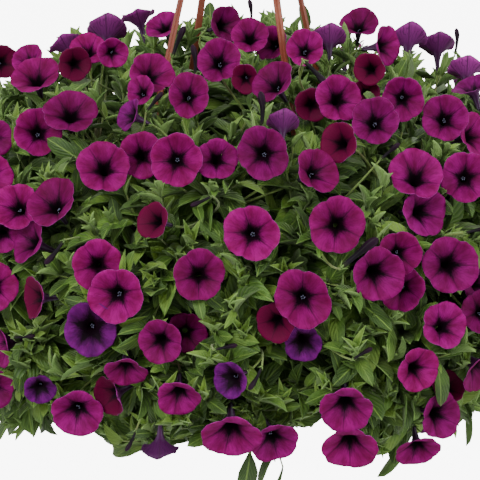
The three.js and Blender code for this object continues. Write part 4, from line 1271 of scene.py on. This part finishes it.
def stem_blooms(name, stem):
    """The blooms and buds of a stem."""
    pieces = []
    for bloom in stem.get("blooms", []):
        form = LAID_BACK if bloom["from_behind"] else BLOOMS[luck.integers(0, len(BLOOMS))]
        # a bloom marked -1 gets painted shade: dark crimson, and its own shade drawn up to half as bright
        painted_shade_crimson = float(bloom["violet"] < 0)
        violet = max(0, bloom["violet"]) + luck.uniform(0, 0.2) * (1 - painted_shade_crimson)
        own = (violet, luck.uniform() * (1 - 0.5 * painted_shade_crimson), painted_shade_crimson)
        warp = (luck.normal(0, 0.03), luck.normal(0, 0.06), luck.normal(0, 0.1))
        pieces.append(copied(form, bloom_matrix(bloom, bloom["roll"]), own, warp))
    for bud in stem["bud_marks"]:
        side = level_side(bud["way"])
        matrix = frame_of(bud["base"], side, np.cross(bud["way"], side), bud["way"], [bud["length"]] * 3)
        pieces.append(copied(BUD_FORMS[luck.integers(0, len(BUD_FORMS))], matrix, (0, luck.uniform(), 0)))
    return join(pieces, name) if pieces else None


for bloom in all_blooms:
    bloom["roll"], bloom["from_behind"] = luck.uniform(0, 2 * math.pi), False
for bloom in seen_blooms:  # a trumpet that the photograph shows from behind lays its limb back, away from the camera
    if bloom["way"] @ CAMERA_BACK < 0.3:
        side = level_side(bloom["way"])
        other = np.cross(bloom["way"], side)
        bloom["roll"], bloom["from_behind"] = math.atan2(other @ CAMERA_BACK, side @ CAMERA_BACK), True

for name, stem in stems.items():
    greens = stem_greens(f"{name}_greens", stem)
    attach(greens, "root")
    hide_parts(name)
    blooms = stem_blooms(f"{name}_blooms", stem)
    if blooms:
        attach(blooms, "root")
        if name.startswith("flower"):
            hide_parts(name)

for form in (*BLOOMS, LAID_BACK, *BUD_FORMS, CALYX, *LEAVES, YOUNG):
    bpy.data.objects.remove(form)

# ---------------------------------------------------------------- pot, mix and hanger

POT_BOTTOM = -POT_HEIGHT
POT_PROFILE = (  # up the outside from the underside of the floor, over the lip and down the inside
    (POT_BASE - 4, POT_BOTTOM + 5), (POT_BASE - 3.4, POT_BOTTOM), (POT_BASE, POT_BOTTOM),
    (POT_BASE + 1.4, POT_BOTTOM + 1.5), (POT_RIM - 3.4, -13.5), (POT_RIM - 2, -12.4), (POT_RIM + 3.5, -9.6),
    (POT_RIM + 5, -8.6), (POT_RIM + 5, -2), (POT_RIM + 4.2, -0.6), (POT_RIM + 3, 0), (POT_RIM - 1.2, 0),
    (POT_RIM - 2, -0.6), (POT_RIM - 2.4, -2), (POT_BASE - 2.2, POT_BOTTOM + 9), (POT_BASE - 4, POT_BOTTOM + 8),
)
STRAP_SLOT, RIB_SLOT = (7.7, 2.9, 60), (3.1, 4.5, 60)  # each a strap's section with 0.35 mm of room all round
DRAINS, DRAIN_CIRCLE, DRAIN_RADIUS = 6, 52, 6
GRAINS, GRAIN_SIZES = 170, (1.0, 2.4)  # perlite on the mix
HOOK_EDGE, LEG_EDGE, LUG_EDGE = 0.9, 0.3, 1.2  # how far the mould rounds their edges


def plain_box(place, x_axis, y_axis, z_axis, sizes):
    """A box about a place, with its sides along three directions."""
    start_fresh()
    bpy.ops.mesh.primitive_cube_add(size=1)
    bpy.context.object.data.transform(frame_of(place, x_axis, y_axis, z_axis, sizes))
    return bpy.context.object


def cut_or_join(piece, other, operation):
    """Cuts another solid out of a piece, or fuses it on, and removes it."""
    apply_modifier(piece, "BOOLEAN", object=other, operation=operation, solver="EXACT")
    bpy.data.objects.remove(other)


def pot_piece():
    """The pot: one moulded wall with a rolled lip, a foot ring, four slotted lugs and six drainage holes."""
    pot = raised_rings(96, POT_PROFILE)
    bpy.ops.mesh.edge_face_add()
    bpy.ops.object.mode_set(mode="OBJECT")
    for vertex in pot.data.vertices:
        vertex.select = abs(vertex.co.z - POT_PROFILE[0][1]) < 0.01
    bpy.ops.object.mode_set(mode="EDIT")
    bpy.ops.mesh.select_mode(type="VERT")
    bpy.ops.mesh.edge_face_add()
    outwards()
    pot.data.transform(TO_FINISHED)
    named("nursery_pot", PLASTIC)
    lugs, cuts = [], []
    for k in range(LEGS):
        azimuth, lug, _, way = leg_line(k)
        across, out = vec(math.cos(azimuth), math.sin(azimuth), 0), around(azimuth, 1, 0)
        block = plain_box(lug - 2 * out, across, -out, UP, (LUG_WIDTH, LUG_DEPTH + 4, LUG_HEIGHT))
        apply_modifier(block, "BEVEL", width=LUG_EDGE * MM, segments=3)
        lugs.append(block)
        inward = np.cross(way, across)
        cuts.append(plain_box(lug, across, inward, way, STRAP_SLOT))
        cuts.append(plain_box(lug - 1.3 * inward, across, inward, way, RIB_SLOT))
    for k in range(DRAINS):
        start_fresh()
        place = in_row(around(2 * math.pi * k / DRAINS, DRAIN_CIRCLE, POT_BOTTOM + 5))
        bpy.ops.mesh.primitive_cylinder_add(vertices=32, radius=DRAIN_RADIUS * MM, depth=30 * MM, location=place)
        cuts.append(bpy.context.object)
    for block in lugs:
        cut_or_join(pot, block, "UNION")
    for cutter in cuts:
        cut_or_join(pot, cutter, "DIFFERENCE")
    take(pot)
    bpy.ops.object.shade_smooth_by_angle(angle=math.radians(35))
    return pot


def mix_piece():
    """The potting mix: a crumbly mound with its surface broken up, with perlite and bark lying in it."""
    inner = POT_BASE - 3.4 + (POT_RIM - POT_BASE) * (1 + SOIL_TOP / (POT_HEIGHT - 8))
    profile = [(POT_BASE - 3.4, POT_BOTTOM + 8.5), (inner, SOIL_TOP)]
    for share in (0.86, 0.74, 0.62, 0.5, 0.38, 0.26, 0.14):
        profile.append((share * inner, SOIL_TOP + SOIL_CROWN * (1 - share**2)))
    mound = raised_rings(96, [*profile, (0.5, SOIL_TOP + SOIL_CROWN)], fill_type="NGON")
    bpy.ops.mesh.merge(type="CENTER")
    outwards()
    named("crumbly_mix", MIX)
    places = places_of(mound)
    broken = np.random.default_rng(5)
    top = places[:, 2] > SOIL_TOP - 1
    places[top, 2] += broken.uniform(-1.6, 1.6, top.sum())
    put_places(mound, places)
    mound.data.transform(TO_FINISHED)
    apply_modifier(mound, "SUBSURF", levels=1, render_levels=1, subdivision_type="CATMULL_CLARK")
    bpy.ops.object.shade_smooth()
    start_fresh()
    bpy.ops.mesh.primitive_ico_sphere_add(subdivisions=1, radius=1)
    grain = named("grain", PERLITE)
    places = places_of(grain)
    put_places(grain, places * broken.uniform(0.75, 1.2, (len(places), 1)))
    grains = []
    for _ in range(GRAINS):
        radius, azimuth = inner * math.sqrt(broken.uniform(0.01, 0.8)), broken.uniform(0, 2 * math.pi)
        place = around(azimuth, radius, SOIL_TOP + SOIL_CROWN * (1 - (radius / inner) ** 2) + 0.6)
        way = unit(broken.normal(size=3))
        side = level_side(way)
        sizes = broken.uniform(*GRAIN_SIZES, 3)
        grains.append(copied(grain, frame_of(place, side, np.cross(way, side), way, sizes), (0, 0, 0)))
    bpy.data.objects.remove(grain)
    return join([mound, *grains], "crumbly_mix")


def softened(name, width):
    """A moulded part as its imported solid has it, with its edges rounded as a mould leaves them."""
    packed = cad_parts[name]
    copy = bpy.data.objects.new(f"{name}_moulded", packed.data.copy())
    copy.data.transform(packed.matrix_world)
    bpy.context.collection.objects.link(copy)
    take(copy)
    bpy.ops.object.mode_set(mode="EDIT")
    bpy.ops.mesh.select_all(action="SELECT")
    bpy.ops.mesh.remove_doubles(threshold=1e-6)
    bpy.ops.mesh.dissolve_limited(angle_limit=math.radians(1))
    bpy.ops.object.mode_set(mode="OBJECT")
    copy.data.materials.clear()
    copy.data.materials.append(PLASTIC)
    apply_modifier(copy, "BEVEL", width=width * MM, segments=2, limit_method="ANGLE", angle_limit=math.radians(40))
    bpy.ops.object.shade_smooth_by_angle(angle=math.radians(30))
    return copy


for piece, name, slot in (
    (pot_piece(), "pot", "terracotta_plastic"), (mix_piece(), "soil", "potting_mix"),
    (softened("hanger_hook", HOOK_EDGE), "hanger_hook", "terracotta_plastic"),
    *((softened(f"hanger_leg_{k}", LEG_EDGE), f"hanger_leg_{k}", "terracotta_plastic") for k in range(1, LEGS + 1)),
):
    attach(piece, "root")
    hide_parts(name)

# ---------------------------------------------------------------- camera, floor and light

SENSOR = 36
FLOOR_SIZE, FLOOR_LEVEL = 60, -2.3  # in metres

start_fresh()
bpy.ops.object.camera_add(location=in_row(CAMERA_PLACE), rotation=(math.pi / 2 - PHOTO_ELEVATION, 0, 0))
camera = bpy.context.object
camera.data.sensor_width = SENSOR
camera.data.lens = SENSOR * PHOTO_FOCAL / (2 * PHOTO_MIDDLE)
camera.data.clip_end = 100
bpy.context.scene.camera = camera


def floor_finish(add):
    """White painted studio floor, even and matte."""
    spot = add("TexCoord").outputs["Object"]
    brushed = add("TexNoise", {"Vector": spot, "Scale": 1.5, "Detail": 2.0})
    hue = add("ValToRGB", {"Fac": brushed}, stops=((0.0, "#f4f4f3"), (1.0, "#fbfbfa")))
    glow = {"Emission Color": colour("#ffffff"), "Emission Strength": 7.0}
    return add("BsdfPrincipled", {"Base Color": hue, "Roughness": 0.95} | glow)


start_fresh()
bpy.ops.mesh.primitive_plane_add(size=FLOOR_SIZE, location=(0, 0, FLOOR_LEVEL))
bpy.ops.object.transform_apply(location=True, rotation=False, scale=False)
floor = named("studio_floor", finish("matte white paint", floor_finish))
# it looks white but throws no glare up at the leaves
floor.visible_diffuse = floor.visible_glossy = False

world = bpy.data.worlds.new("even studio light")
world.use_nodes = True
world.node_tree.nodes["Background"].inputs["Color"].default_value = colour("#ffffff")
world.node_tree.nodes["Background"].inputs["Strength"].default_value = 1.18
bpy.context.scene.world = world


def soft_light(name, place, size, power):
    """A large square lamp that faces the middle of the basket."""
    start_fresh()
    bpy.ops.object.light_add(type="AREA", location=place)
    lamp = bpy.context.object
    lamp.name = name
    lamp.data.size, lamp.data.energy = size, power
    lamp.rotation_euler = (in_row((0, 0, BALL_MIDDLE)) - Vector(place)).to_track_quat("-Z", "Y").to_euler()


soft_light("key_softbox", (-1.6, -2.6, 1.9), 1.4, 124)
soft_light("fill_softbox", (2.4, -1.8, 0.6), 1.8, 45)
soft_light("back_softbox", (0.6, 2.6, 1.4), 1.6, 40)
